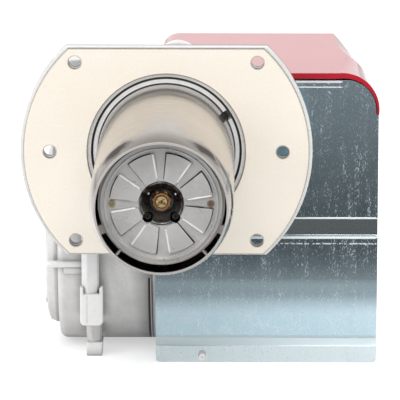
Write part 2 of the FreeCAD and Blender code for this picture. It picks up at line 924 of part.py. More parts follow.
def disc_bracket():
    """Hat-shaped strap from the nozzle holder out to the disc's two screws."""
    piece = body("disc_bracket")
    strap = length(2)
    back = holder_front + d.holder_length / 2
    leg = disc_screw_reach - 5
    foot = disc_screw_reach + d.bracket_toe
    pad(piece, "XY", -5, 5, lambda paper: outline(paper, [
        (-foot, disc_back), (-leg + strap, disc_back), (-leg + strap, back),
        (leg - strap, back), (leg - strap, disc_back), (foot, disc_back),
        (foot, disc_back + strap), (leg, disc_back + strap), (leg, back + strap),
        (-leg, back + strap), (-leg, disc_back + strap), (-foot, disc_back + strap)]))
    pad(piece, "XZ", back, back + strap, lambda paper: circle(paper, 0, 0, d.holder_radius + 4))
    cut(piece, "XZ", back, back + strap,
        lambda paper: circle(paper, 0, 0, d.holder_radius + seat_fit))

    def screw_holes(paper):
        for side in (-1, 1):
            circle(paper, side * disc_screw_reach, 0, d.disc_screw_radius * 0.6)
    cut(piece, "XZ", disc_back, disc_back + strap, screw_holes)
    return piece


def hub_cup():
    """Flared air cup round the nozzle, seated on the disc by its rolled lip."""
    piece = body("hub_cup")
    outer = d.hub_radius - d.running_fit
    base = disc_front + d.cup_depth
    lip = d.cup_lip_radius
    shoulder = lip * 0.7
    turn(piece, "XY", "V_Axis", lambda paper: outline(paper, [
        (outer, disc_front), (d.cup_throat_radius + 3, base), (d.cup_throat_radius, base),
        (d.cup_throat_radius, base - d.cup_wall),
        (d.cup_throat_radius + 2, base - d.cup_wall),
        (outer - lip, disc_front), (outer - shoulder, disc_front - shoulder),
        (outer, disc_front - lip), (outer + shoulder, disc_front - shoulder),
        (outer + lip, disc_front)]))

    def holes(paper):
        for index in range(4):
            angle = 90 + d.cup_hole_spacing * (index - 1.5)
            across, rise = polar(angle, d.cup_hole_reach)
            circle(paper, across, rise, d.cup_hole_radius)
    cut(piece, "XZ", disc_front - lip - 1, base, holes)
    electrode_notches(piece, disc_front - lip - 1, base)
    return piece


def hexagon(paper, x, y, radius):
    corners = []
    for index in range(6):
        across, rise = polar(60 * index, radius)
        corners.append((x + across, y + rise))
    outline(paper, corners)


def nozzle():
    """Spray nozzle with a conical face, a bright shoulder and a spanner hexagon."""
    piece = body("nozzle")
    radius = d.nozzle_radius
    turn(piece, "XY", "V_Axis", lambda paper: outline(paper, [
        (0, nozzle_tip + 1.6), (0.9, nozzle_tip + 1.6), (2.4, nozzle_tip),
        (radius - 2.4, nozzle_tip), (radius - 1.6, nozzle_tip + 1.2),
        (radius - 0.8, nozzle_tip), (radius, nozzle_tip + 0.8),
        (radius, holder_front), (0, holder_front)]))
    pad(piece, "XZ", holder_front - 8, holder_front,
        lambda paper: hexagon(paper, length(0), length(0), radius * 1.12))
    return piece


def nozzle_holder():
    piece = body("nozzle_holder")
    turn(piece, "XY", "V_Axis", lambda paper: outline(paper, [
        (0, holder_front), (d.holder_radius - 1, holder_front),
        (d.holder_radius, holder_front + 1), (d.holder_radius, gun_front - 8),
        (d.gun_radius + 1, gun_front), (0, gun_front)]))
    return piece


def gun_pipe():
    """Oil line from the rear of the air box to the nozzle holder."""
    piece = body("gun_pipe")
    turn(piece, "XY", "V_Axis", lambda paper: outline(paper, [
        (2, gun_front), (d.gun_radius, gun_front), (d.gun_radius, gun_end), (2, gun_end)]))
    return piece


def gun_bush():
    """Flanged bush that holds the oil line in the rear wall of the air box."""
    piece = body("gun_bush")
    bore = d.gun_radius + d.running_fit
    outer = d.gun_radius + 4 - seat_fit
    front = d.plenum_rear - d.cast_wall - 4
    turn(piece, "XY", "V_Axis", lambda paper: outline(paper, [
        (bore, front), (outer, front), (outer, d.plenum_rear),
        (outer + 4, d.plenum_rear), (outer + 4, d.plenum_rear + 4),
        (bore, d.plenum_rear + 4)]))
    return piece


def insulator(label, side):
    """Porcelain sleeve of one electrode, thicker where the clamp grips it."""
    piece = body(label, side * d.electrode_reach, 0, -d.electrode_drop)
    core = d.electrode_radius + seat_fit
    radius = d.insulator_radius
    turn(piece, "XY", "V_Axis", lambda paper: outline(paper, [
        (core, insulator_front), (radius - 1.2, insulator_front),
        (radius, insulator_front + 5), (radius, insulator_rear), (core, insulator_rear)]))
    return piece


def electrode(label, side):
    """Spark wire that leaves the porcelain and ends behind the notch, bent to the nozzle."""
    reach = side * d.electrode_reach
    spots = [
        (reach, insulator_rear, -d.electrode_drop),
        (reach, insulator_front - 1, -d.electrode_drop),
        (reach * 0.9, disc_back + 1, -d.electrode_drop * 0.94),
    ]
    return bent_rod(label, spots, 2, d.electrode_radius)


def electrode_clamp():
    """Plate that ties both porcelain sleeves to the oil line."""
    piece = body("electrode_clamp")
    start = gun_front + 3
    wide = d.electrode_reach + d.insulator_radius + 4
    low = -d.electrode_drop - d.insulator_radius - 3
    pad(piece, "XZ", start, start + 10, lambda paper: rounded_outline(
        paper, -wide, low, wide, d.gun_radius + 4, 4))

    def holes(paper):
        circle(paper, 0, 0, d.gun_radius + seat_fit)
        for side in (-1, 1):
            circle(paper, side * d.electrode_reach, -d.electrode_drop,
                   d.insulator_radius + seat_fit)
    cut(piece, "XZ", start, start + 10, holes)
    return piece


def ignition_lead(label, side, turn_y):
    """High-tension lead from one porcelain sleeve to the transformer."""
    reach = side * d.electrode_reach
    spots = [
        (reach, insulator_rear, -d.electrode_drop),
        (reach, turn_y, -d.electrode_drop),
        (d.transformer_left, turn_y, -d.electrode_drop),
    ]
    return bent_rod(label, spots, d.lead_bend, d.lead_radius)


def ignition_leads():
    left = ignition_lead("lead_left", -1, lead_turns[0])
    right = ignition_lead("lead_right", 1, lead_turns[1])
    return group("ignition_leads", [left, right])


# Fan housing, motor plate and inlet
def scroll_corners(inset):
    """The growing scroll from its front, under the wheel and up its back."""
    half = d.scroll_step / 2
    first = d.scroll_radius - inset
    second = first + d.scroll_step
    third = second + d.scroll_step
    near_y = d.fan_y - half
    far_y = d.fan_y + half
    low_z = d.fan_z - half
    high_z = d.fan_z + half
    rise_y, rise_z = polar(45, third)
    return [
        (far_y - first, low_z),
        arc_to(far_y, low_z - first, far_y, low_z),
        arc_to(far_y + second, high_z, far_y, high_z),
        arc_to(near_y + rise_y, high_z + rise_z, near_y, high_z),
    ]


def casing_outline(paper, inset):
    """The scroll with the sloping back and the air box above it."""
    corners = scroll_corners(inset)
    front_y = corners[0][0]
    slope_y, slope_z = corners[3][0], corners[3][1]
    top = d.face_top - 6 - inset
    floor = d.face_bottom + d.cast_wall + inset
    outline(paper, corners + [
        (slope_y - (top - slope_z), top), (face_rear + inset, top),
        (face_rear + inset, floor), (front_y, floor)])


def opening_outline(paper, inset):
    """The part of the scroll's right side that the motor plate closes."""
    corners = scroll_corners(inset)
    rear_limit = d.plenum_rear + 1 + inset
    floor = d.face_bottom + d.cast_wall - inset
    outline(paper, corners + [
        (rear_limit, corners[3][1]), (rear_limit, floor), (corners[0][0], floor)])


def at_x(edge, x):
    """True for an edge that lies in the plane of the given X."""
    return all(abs(point.Point.x - x) < 1e-4 for point in edge.Vertexes) and len(edge.Vertexes) > 1


def fan_housing():
    """Cast scroll with the air box, its tube socket, lug, strap and foot."""
    piece = body("fan_housing")
    pad(piece, "YZ", d.scroll_left, d.scroll_right, lambda paper: casing_outline(paper, 0))
    round_edges(piece, d.scroll_round, lambda edge: at_x(edge, d.scroll_left.value))
    pad(piece, "XZ", neck_rear, d.plenum_rear, lambda paper: box_outline(
        paper, d.scroll_right - 12, d.plenum_bottom, d.plenum_right, d.plenum_top))
    pad(piece, "XZ", face_rear - 1, neck_rear + 6,
        lambda paper: circle(paper, 0, 0, neck_radius))
    pad(piece, "XZ", face_front, face_rear, lambda paper: rounded_outline(
        paper, d.face_left, d.face_bottom, d.face_right, d.face_top, d.face_corner))
    lug_base = d.plenum_top - 0.5
    lug_top = d.plenum_top + d.lug_height
    lug_z = lug_top - d.lug_half_width
    lug_left = d.lug_center_x - d.lug_half_width
    lug_right = d.lug_center_x + d.lug_half_width
    pad(piece, "XZ", d.lug_front, d.lug_front + d.lug_thickness, lambda paper: outline(paper, [
        (lug_left, lug_base), (lug_right, lug_base), (lug_right, lug_z),
        arc_to(d.lug_center_x, lug_top, d.lug_center_x, lug_z),
        arc_to(lug_left, lug_z, d.lug_center_x, lug_z)]))
    eye_radius = d.lug_half_width - d.lug_rim
    eye_left = d.lug_center_x - eye_radius
    eye_right = d.lug_center_x + eye_radius
    cut(piece, "XZ", d.lug_front, d.lug_front + d.lug_thickness, lambda paper: outline(paper, [
        (eye_left, d.plenum_top), (eye_right, d.plenum_top), (eye_right, lug_z),
        arc_to(d.lug_center_x, lug_z + eye_radius, d.lug_center_x, lug_z),
        arc_to(eye_left, lug_z, d.lug_center_x, lug_z)]))
    strap_right = d.strap_left + d.strap_width
    block_right = d.block_left + d.block_width
    wall_y = d.fan_y - d.scroll_radius + 12
    pad(piece, "XZ", d.strap_front, wall_y, lambda paper: box_outline(
        paper, d.strap_left, d.strap_bottom, strap_right, d.face_bottom + 6))
    pad(piece, "XZ", d.block_front, d.foot_front, lambda paper: rounded_outline(
        paper, d.block_left, d.block_bottom, block_right, d.block_top, 2.5))
    foot_left = d.foot_center_x - d.foot_width / 2
    pad(piece, "XZ", d.foot_front, d.foot_front + d.foot_depth, lambda paper: outline(paper, [
        (foot_left + 1.5, d.floor_z), (foot_left + d.foot_width - 1.5, d.floor_z),
        (foot_left + d.foot_width, d.block_bottom), (foot_left - 1, d.block_bottom)]))
    pad(piece, "YZ", d.scroll_left + d.scroll_round, d.strap_left + 2,
        lambda paper: circle(paper, wall_y - 7, d.bead_z, d.bead_radius))
    open_left = d.scroll_left + d.cast_wall
    inner_right = d.scroll_right - d.cast_wall
    cut(piece, "YZ", open_left, inner_right, lambda paper: casing_outline(paper, d.cast_wall))
    wall = d.cast_wall
    cut(piece, "YZ", inner_right, d.scroll_right, lambda paper: opening_outline(paper, wall))
    cut(piece, "XZ", neck_rear + wall, d.plenum_rear - wall, lambda paper: box_outline(
        paper, d.scroll_right - 14, d.plenum_bottom + wall, d.plenum_right - wall,
        d.plenum_top - wall))
    cut(piece, "XZ", face_front, neck_rear + wall + 4,
        lambda paper: circle(paper, 0, 0, d.tube_radius + d.running_fit))
    cut(piece, "YZ", d.scroll_left, open_left,
        lambda paper: circle(paper, d.fan_y, d.fan_z, d.inlet_radius))
    cut(piece, "XZ", d.plenum_rear - wall, d.plenum_rear,
        lambda paper: circle(paper, 0, 0, d.gun_radius + 4))
    cut(piece, "XZ", d.plenum_rear - wall, d.plenum_rear,
        lambda paper: circle(paper, d.sensor_x, d.sensor_z, d.sensor_radius + 2))

    def side_holes(paper):
        for along in shelf_screw_places():
            circle(paper, along, d.shelf_z - d.shelf_screw_drop, d.screw_radius + d.running_fit)
        for lead_y in lead_turns:
            circle(paper, lead_y, -d.electrode_drop, d.lead_radius + d.running_fit)
    cut(piece, "YZ", d.plenum_right - wall, d.plenum_right, side_holes)
    corners = scroll_corners(0)
    front_y = corners[0][0]
    tongue_top = d.fan_z + d.wheel_radius * 0.8
    tongue_tip = d.fan_y - d.wheel_radius * 0.9
    pad(piece, "YZ", open_left - 1, inner_right, lambda paper: outline(paper, [
        (front_y + 1, d.face_bottom + 6), (front_y + 1, d.fan_z + 12),
        (tongue_tip, tongue_top - 6), (tongue_tip - 2, tongue_top)]))
    return piece


def motor_plate():
    """Plate that closes the scroll and carries the motor and its first bearing."""
    piece = body("motor_plate")
    pad(piece, "YZ", d.scroll_right, motor_left, lambda paper: opening_outline(paper, 0))
    boss = d.bearing_radius + 6
    pad(piece, "YZ", motor_left, motor_left + d.bearing_width,
        lambda paper: circle(paper, d.fan_y, d.fan_z, boss))
    cut(piece, "YZ", motor_left, motor_left + d.bearing_width,
        lambda paper: circle(paper, d.fan_y, d.fan_z, d.bearing_radius + seat_fit))
    cut(piece, "YZ", d.scroll_right, motor_left,
        lambda paper: circle(paper, d.fan_y, d.fan_z, d.shaft_radius + 2))
    return piece


def on_axis(label):
    """A body whose own X axis is the fan's axis."""
    return body(label, 0, d.fan_y, d.fan_z)


def inlet_cover():
    """Dished side cover with four air windows and the slot for the shutter's screw."""
    piece = on_axis("inlet_cover")
    radius = d.inlet_cover_radius
    corner = d.inlet_cover_round
    shoulder = radius - corner
    bend_x = cover_plate_left + corner
    wall = d.inlet_cover_wall
    turn(piece, "XY", "H_Axis", lambda paper: outline(paper, [
        (d.scroll_left, radius), (bend_x, radius),
        (cover_plate_left + corner * 0.3, shoulder + corner * 0.7),
        (cover_plate_left, shoulder), (cover_plate_left, d.pivot_radius),
        (dish_inside, d.pivot_radius), (dish_inside, shoulder), (bend_x, radius - wall),
        (d.scroll_left, radius - wall)]))
    boss_y, boss_z = polar(45, radius - corner - 4)
    boss = pad(piece, "YZ", dish_inside, d.scroll_left,
               lambda paper: circle(paper, boss_y, boss_z, 5))
    hole = cut(piece, "YZ", cover_plate_left, d.scroll_left,
               lambda paper: circle(paper, boss_y, boss_z, 2 + seat_fit))
    around(piece, [boss, hole], "X_Axis", 4)
    window = cut(piece, "YZ", cover_plate_left, dish_inside, lambda paper: sector(
        paper, d.window_inner_radius, d.window_outer_radius,
        -d.window_angle / 2, d.window_angle / 2))
    around(piece, [window], "X_Axis", d.window_count)
    half_slot = d.knob_radius * 0.5 + d.slide_gap
    lead_in = length(4)
    cut(piece, "YZ", cover_plate_left, dish_inside, lambda paper: sector(
        paper, d.knob_reach - half_slot, d.knob_reach + half_slot,
        -90 - lead_in, d.shutter_travel - 90 + lead_in))
    return piece


def air_damper():
    """Rotary shutter inside the dish, with windows that match the cover's."""
    piece = on_axis("air_damper")
    left = dish_inside + d.seat_gap
    right = left + d.shutter_sheet
    arm = length(6)
    pad(piece, "YZ", left, right, lambda paper: circle(paper, 0, 0, d.shutter_radius))
    pad(piece, "YZ", left, right, lambda paper: box_outline(
        paper, -arm, -d.knob_reach - arm, arm, -d.shutter_radius + 3))
    window = cut(piece, "YZ", left, right, lambda paper: sector(
        paper, d.window_inner_radius, d.window_outer_radius,
        -d.window_angle / 2, d.window_angle / 2))
    around(piece, [window], "X_Axis", d.window_count)
    cut(piece, "YZ", left, right,
        lambda paper: circle(paper, 0, 0, d.pivot_radius + d.running_fit))
    return piece


def damper_knob():
    """Flat screw through the slot that sets and holds the shutter."""
    piece = body("damper_knob", 0, d.fan_y, d.fan_z - d.knob_reach)
    face = cover_plate_left - d.seat_gap
    turn(piece, "XY", "H_Axis", lambda paper: outline(paper, [
        (face - 1.4, 0), (face - 1.4, d.knob_radius - 0.8), (face - 0.8, d.knob_radius),
        (face, d.knob_radius), (face, d.knob_radius * 0.5),
        (dish_inside + d.seat_gap, d.knob_radius * 0.5), (dish_inside + d.seat_gap, 0)]))
    return piece


def damper_pivot():
    """Riveted pin on the cover's centre that the shutter turns on."""
    piece = on_axis("damper_pivot")
    right = dish_inside + d.seat_gap + d.shutter_sheet + d.seat_gap
    turn(piece, "XY", "H_Axis", lambda paper: outline(paper, [
        (cover_plate_left - 1.2, 0), (cover_plate_left - 1.2, d.pivot_radius + 2),
        (cover_plate_left, d.pivot_radius + 2), (cover_plate_left, d.pivot_radius - seat_fit),
        (right, d.pivot_radius - seat_fit), (right, d.pivot_radius + 3),
        (right + 1.4, d.pivot_radius + 3), (right + 1.4, 0)]))
    return piece


def inlet_cover_screws():
    pieces = []
    for index in range(4):
        along, rise = polar(45 + 90 * index, d.inlet_cover_radius - d.inlet_cover_round - 4)
        piece = screw("inlet_screw_%d" % index, 4, 1.2, 2, d.inlet_cover_depth, TOWARD_LEFT)
        place(piece, cover_plate_left, d.fan_y + along, d.fan_z + rise)
        pieces.append(piece)
    return group("inlet_cover_screws", pieces)


# Fan wheel, shaft and motor
def fan_wheel():
    """Forward-curved wheel: back plate with its boss, front ring and curved blades."""
    piece = on_axis("fan_wheel")
    sheet_wall = d.wheel_sheet
    bore = d.shaft_radius + seat_fit
    boss_left = wheel_right - d.hub_boss_length
    turn(piece, "XY", "H_Axis", lambda paper: outline(paper, [
        (boss_left, bore), (wheel_right, bore), (wheel_right, d.wheel_radius),
        (wheel_right - sheet_wall, d.wheel_radius),
        (wheel_right - sheet_wall, d.hub_boss_radius), (boss_left, d.hub_boss_radius)]))
    lean_y, lean_z = polar(-8, d.wheel_radius - 0.3)
    foot_y = d.wheel_inner_radius + 0.3
    middle_y = (lean_y + foot_y) / 2
    middle_z = lean_z / 2
    center_y = middle_y - lean_z * 0.45
    center_z = middle_z + (lean_y - foot_y) * 0.45
    arm_y = foot_y - center_y
    arm_z = -center_z
    grow = d.blade_sheet / root(arm_y * arm_y + arm_z * arm_z) + 1
    blade = pad(piece, "YZ", d.wheel_left + sheet_wall / 2, wheel_right - sheet_wall / 2,
                lambda paper: outline(paper, [
                    (foot_y, length(0)), arc_to(lean_y, lean_z, center_y, center_z),
                    (center_y + (lean_y - center_y) * grow,
                     center_z + (lean_z - center_z) * grow),
                    arc_to(center_y + arm_y * grow, center_z + arm_z * grow,
                           center_y, center_z)]))
    around(piece, [blade], "X_Axis", d.blade_count)

    def front_ring(paper):
        circle(paper, 0, 0, d.wheel_radius)
        circle(paper, 0, 0, d.wheel_inner_radius)
    pad(piece, "YZ", d.wheel_left, d.wheel_left + sheet_wall, front_ring)
    return piece


def ring_on_axis(label, left, right, inner, outer):
    """A plain round piece on the fan's axis, bored when the inner radius isn't zero."""
    piece = on_axis(label)
    turn(piece, "XY", "H_Axis", lambda paper: box_outline(paper, left, inner, right, outer))
    return piece


def motor_shaft():
    piece = on_axis("motor_shaft")
    left = wheel_right - d.hub_boss_length
    turn(piece, "XY", "H_Axis", lambda paper: outline(paper, [
        (left, 0), (left, d.shaft_radius - 0.6), (left + 0.6, d.shaft_radius),
        (shaft_end - 0.6, d.shaft_radius), (shaft_end, d.shaft_radius - 0.6), (shaft_end, 0)]))
    return piece


def stator():
    """Laminated core with the end windings at both sides."""
    piece = on_axis("stator")
    middle = motor_left + d.motor_length / 2
    left = middle - d.rotor_length / 2
    right = middle + d.rotor_length / 2
    outer = d.motor_radius - d.motor_wall - seat_fit
    winding_inner = d.stator_bore + 2
    winding_outer = outer - 4
    reach = length(13)
    turn(piece, "XY", "H_Axis", lambda paper: outline(paper, [
        (left, d.stator_bore), (right, d.stator_bore), (right, winding_inner),
        (right + reach, winding_inner), (right + reach, winding_outer),
        (right, winding_outer), (right, outer), (left, outer), (left, winding_outer),
        (left - reach, winding_outer), (left - reach, winding_inner), (left, winding_inner)]))
    return piece


def motor_end_bell():
    """Rear bell with the second bearing's seat."""
    piece = on_axis("motor_end_bell")
    seat = bell_right - d.bearing_width
    turn(piece, "XY", "H_Axis", lambda paper: outline(paper, [
        (motor_right, d.bearing_radius + seat_fit), (bell_right - 1.5, d.bearing_radius + seat_fit),
        (bell_right - 1.5, d.shaft_radius + 2), (bell_right, d.shaft_radius + 2),
        (bell_right, d.motor_radius - 8), (bell_right - 7, d.motor_radius),
        (motor_right, d.motor_radius)]))
    fins = pad(piece, "YZ", seat + 2, bell_right + 2, lambda paper: box_outline(
        paper, d.bracket_ring_radius + 4, -1.5, d.motor_radius - 6, 1.5))
    around(piece, [fins], "X_Axis", 12)
    return piece


def motor_bearings():
    """The two ball bearings, drawn as closed rings."""
    seats = (motor_left, bell_right - 1.5 - d.bearing_width)
    rings = []
    for name, left in zip(("bearing_front", "bearing_rear"), seats):
        rings.append(ring_on_axis(name, left, left + d.bearing_width,
                                  d.shaft_radius + d.running_fit, d.bearing_radius))
    return group("motor_bearings", rings)


def run_capacitor():
    """Motor capacitor lying on the shell, with its foot between."""
    seat_z = d.motor_radius + d.capacitor_radius + 2
    piece = body("run_capacitor", 0, d.fan_y, d.fan_z + seat_z)
    left = motor_left + 22
    right = left + d.capacitor_length
    turn(piece, "XY", "H_Axis", lambda paper: outline(paper, [
        (left, 0), (left, d.capacitor_radius - 1.5), (left + 1.5, d.capacitor_radius),
        (right, d.capacitor_radius), (right, 0)]))
    pad(piece, "YZ", left + 10, right - 10, lambda paper: box_outline(
        paper, -5, -d.capacitor_radius - 2, 5, -d.capacitor_radius + 2))
    return piece


# Pump side
def pump_bracket():
    """Open lantern between the motor's rear bell and the pump."""
    piece = on_axis("pump_bracket")
    outer = d.bracket_ring_radius
    inner = outer - 4
    flange = length(3)
    left = bell_right
    turn(piece, "XY", "H_Axis", lambda paper: outline(paper, [
        (left, inner), (pump_left, inner), (pump_left, outer + 3),
        (pump_left - flange, outer + 3), (pump_left - flange, outer),
        (left + flange, outer), (left + flange, outer + 3), (left, outer + 3)]))
    window = cut(piece, "YZ", left + flange, pump_left - flange,
                 lambda paper: box_outline(paper, inner - 6, -8, outer + 6, 8))
    around(piece, [window], "X_Axis", 4)
    return piece


def pump_coupling():
    """Moulded coupling that joins the motor's shaft to the pump's."""
    piece = on_axis("pump_coupling")
    left = bell_right + 2
    right = pump_left - 2
    turn(piece, "XY", "H_Axis", lambda paper: outline(paper, [
        (left, d.shaft_radius + seat_fit), (shaft_end, d.shaft_radius + seat_fit),
        (shaft_end, d.pump_shaft_radius + seat_fit), (right, d.pump_shaft_radius + seat_fit),
        (right, d.coupling_radius), (left, d.coupling_radius)]))
    groove = cut(piece, "YZ", left, left + 5, lambda paper: circle(
        paper, d.coupling_radius, 0, 1.8))
    around(piece, [groove], "X_Axis", 6)
    return piece


def pump_shaft():
    """Pump shaft with its gear, turning in the pump's body."""
    piece = on_axis("pump_shaft")
    gear_left = pump_right - 15
    gear_right = pump_right - 3
    turn(piece, "XY", "H_Axis", lambda paper: outline(paper, [
        (shaft_end + 0.5, 0), (shaft_end + 0.5, d.pump_shaft_radius),
        (gear_left, d.pump_shaft_radius), (gear_left, 8), (gear_right, 8), (gear_right, 0)]))
    tooth = pad(piece, "YZ", gear_left, gear_right, lambda paper: outline(paper, [
        (7.6, -1.1), (9.4, -0.6), (9.4, 0.6), (7.6, 1.1)]))
    around(piece, [tooth], "X_Axis", 12)
    return piece


def pump_body():
    """Cast gear pump with rounded corners, shaft bore and gear chamber."""
    piece = on_axis("pump_body")
    deep = d.pump_half_depth
    high = d.pump_half_height
    pad(piece, "YZ", pump_left, pump_right, lambda paper: rounded_outline(
        paper, -deep, -high, deep, high, 7))
    cut(piece, "YZ", pump_left, pump_right - 16,
        lambda paper: circle(paper, 0, 0, d.pump_shaft_radius + d.running_fit))
    cut(piece, "YZ", pump_right - 16, pump_right, lambda paper: circle(paper, 0, 0, 10))
    outlet_y = d.pump_half_depth - d.outlet_inset
    pad(piece, "XY", high - 1, high + 6, lambda paper: circle(
        paper, pump_left + d.outlet_offset, outlet_y, 7))
    cut(piece, "XY", high - 6, high + 6, lambda paper: circle(
        paper, pump_left + d.outlet_offset, outlet_y, d.pipe_radius + seat_fit))

    def ports(paper):
        for offset in (d.port_inset, d.pump_length - d.port_inset):
            circle(paper, pump_left + offset, 0, d.port_bore + 1.5)
    cut(piece, "XY", -high, -high + 8, ports)
    return piece


def pump_cover():
    piece = on_axis("pump_cover")
    right = pump_right + d.pump_cover_length
    turn(piece, "XY", "H_Axis", lambda paper: outline(paper, [
        (pump_right, 0), (pump_right, d.pump_cover_radius), (right - 3, d.pump_cover_radius),
        (right, d.pump_cover_radius - 3), (right, 0)]))
    hole_y, hole_z = polar(30, d.pump_cover_radius - 6)
    hole = cut(piece, "YZ", pump_right, right, lambda paper: circle(
        paper, hole_y, hole_z, 2 + seat_fit))
    around(piece, [hole], "X_Axis", 4)
    cut(piece, "YZ", right - 6, right, lambda paper: circle(paper, 0, -8, 4 + d.running_fit))
    return piece


def pump_cover_screws():
    pieces = []
    for index in range(4):
        along, rise = polar(30 + 90 * index, d.pump_cover_radius - 6)
        piece = screw("pump_screw_%d" % index, 3.5, 4, 2, d.pump_cover_length, TOWARD_RIGHT)
        place(piece, pump_right + d.pump_cover_length, d.fan_y + along, d.fan_z + rise)
        pieces.append(piece)
    return group("pump_cover_screws", pieces)


def pressure_screw():
    """Slotted screw in the pump's cover that sets the oil pressure."""
    piece = body("pressure_screw", 0, d.fan_y, d.fan_z - d.pressure_screw_drop)
    right = pump_right + d.pump_cover_length
    turn(piece, "XY", "H_Axis", lambda paper: box_outline(paper, right - 6, 0, right + 3, 4))
    cut(piece, "YZ", right + 1.5, right + 3, lambda paper: box_outline(paper, -5, -0.6, 5, 0.6))
    return piece


def oil_unions():
    """Two threaded unions under the pump for the supply and return hoses."""
    pieces = []
    high = d.pump_half_height
    for name, offset in (("union_left", d.port_inset),
                         ("union_right", d.pump_length - d.port_inset)):
        piece = body(name, pump_left + offset, d.fan_y, d.fan_z - high)
        pad(piece, "XY", -d.port_length, -d.port_length / 2, lambda paper: circle(
            paper, 0, 0, d.port_radius))
        pad(piece, "XY", -d.port_length / 2, 0, lambda paper: hexagon(
            paper, length(0), length(0), d.port_radius * 1.15))
        pad(piece, "XY", 0, 8, lambda paper: circle(paper, 0, 0, d.port_bore + 1.5 - seat_fit))
        cut(piece, "XY", -d.port_length, 2, lambda paper: circle(paper, 0, 0, d.port_bore))
        pieces.append(piece)
    return group("oil_unions", pieces)


def valve_coil():
    """Solenoid coil of the oil valve, clipped over its stem behind the pump."""
    half = d.coil_size / 2
    front = d.fan_y + d.pump_half_depth
    piece = body("valve_coil", pump_left + d.pump_length / 2, 0, d.fan_z - 10)
    pad(piece, "XZ", front + 3, front + d.coil_height, lambda paper: rounded_outline(
        paper, -half, -half, half, half, 4))
    cut(piece, "XZ", front + 3, front + d.coil_height,
        lambda paper: circle(paper, 0, 0, 6 + seat_fit))
    return piece


def valve_stem():
    front = d.fan_y + d.pump_half_depth
    piece = body("valve_stem", pump_left + d.pump_length / 2, 0, d.fan_z - 10)
    rear = front + d.coil_height
    turn(piece, "XY", "V_Axis", lambda paper: outline(paper, [
        (0, front), (9, front), (9, front + 3), (6, front + 3), (6, rear), (8, rear),
        (8, rear + 4), (0, rear + 4)]))
    return piece


def oil_pipe():
    """Copper delivery pipe from the pump up and across to the nozzle line."""
    outlet_x = pump_left + d.outlet_offset
    outlet_y = d.fan_y + d.pump_half_depth - d.outlet_inset
    outlet_z = d.fan_z + d.pump_half_height - 5
    run_z = d.shelf_z - d.pipe_radius * 2 - 2
    spots = [
        (0, gun_end, 0), (0, outlet_y, 0), (0, outlet_y, run_z),
        (outlet_x, outlet_y, run_z), (outlet_x, outlet_y, outlet_z),
    ]
    bend = min(d.pipe_bend.value, (outlet_y - gun_end).value - 1)
    return bent_rod("oil_pipe", spots, bend, d.pipe_radius)


# Galvanised sheet work
def sheet_line(corners, thickness):
    """The outline of a thin sheet given the front line of its section."""
    back = [(y + thickness, z) for y, z in reversed(corners)]
    return corners + back


def front_shield():
    """Galvanised front sheet: hemmed top, stiffening step, swept foot and lower strip."""
    piece = body("front_shield")
    face = d.shield_y
    step = face + d.joggle_depth
    corners = [
        (face, d.shield_top), (face, d.joggle_top), (step, d.joggle_top - 2),
        (step, d.joggle_bottom + 2), (face, d.joggle_bottom), (face, d.curve_top),
    ]
    pieces = 6
    for index in range(1, pieces + 1):
        drop = swept_drop * index / pieces
        back = d.curve_radius - root(d.curve_radius * d.curve_radius - drop * drop)
        corners.append((face + back, d.curve_top - drop))
    corners.append((strip_front, d.strip_top))
    corners.append((strip_front, d.floor_z))
    pad(piece, "YZ", d.shield_left, d.shield_right,
        lambda paper: outline(paper, sheet_line(corners, d.sheet)))
    pad(piece, "YZ", d.shield_left, d.hem_right, lambda paper: box_outline(
        paper, face - d.sheet, d.shield_top - d.shield_hem, face, d.shield_top))
    back = face + swept_back + d.sheet + 1
    cut(piece, "XZ", face - 3, back, lambda paper: circle(
        paper, 0, 0, neck_radius + d.notch_gap))
    corner_x = shield_tuck - d.shield_corner
    corner_z = d.shield_top - d.shield_corner
    tuck_z = d.cover_cheek_z - d.slide_gap * 2
    cut(piece, "XZ", face - 3, back, lambda paper: outline(paper, [
        arc_to(corner_x, d.shield_top, corner_x, corner_z),
        (corner_x, d.shield_top + 5), (d.shield_right + 5, d.shield_top + 5),
        (d.shield_right + 5, tuck_z), (shield_tuck, tuck_z), (shield_tuck, corner_z)]))
    cut(piece, "XZ", face - 3, back, lambda paper: outline(paper, [
        (d.shield_left - 5, neck_radius), (0, neck_radius), (0, -neck_radius),
        (d.shield_left - 5, -neck_radius)]))
    cut(piece, "XZ", strip_front, strip_front + d.sheet, lambda paper: circle(
        paper, strip_screw_x, strip_screw_z, d.screw_radius + d.running_fit))
    corner = d.strip_corner
    center_z = d.floor_z + corner
    for edge_x, center_x in (
        (d.shield_left, d.shield_left + corner), (d.shield_right, d.shield_right - corner)
    ):
        cut(piece, "XZ", strip_front, strip_front + d.sheet, lambda paper: outline(paper, [
            (edge_x, d.floor_z), (center_x, d.floor_z),
            arc_to(edge_x, center_z, center_x, center_z)]))
    return piece


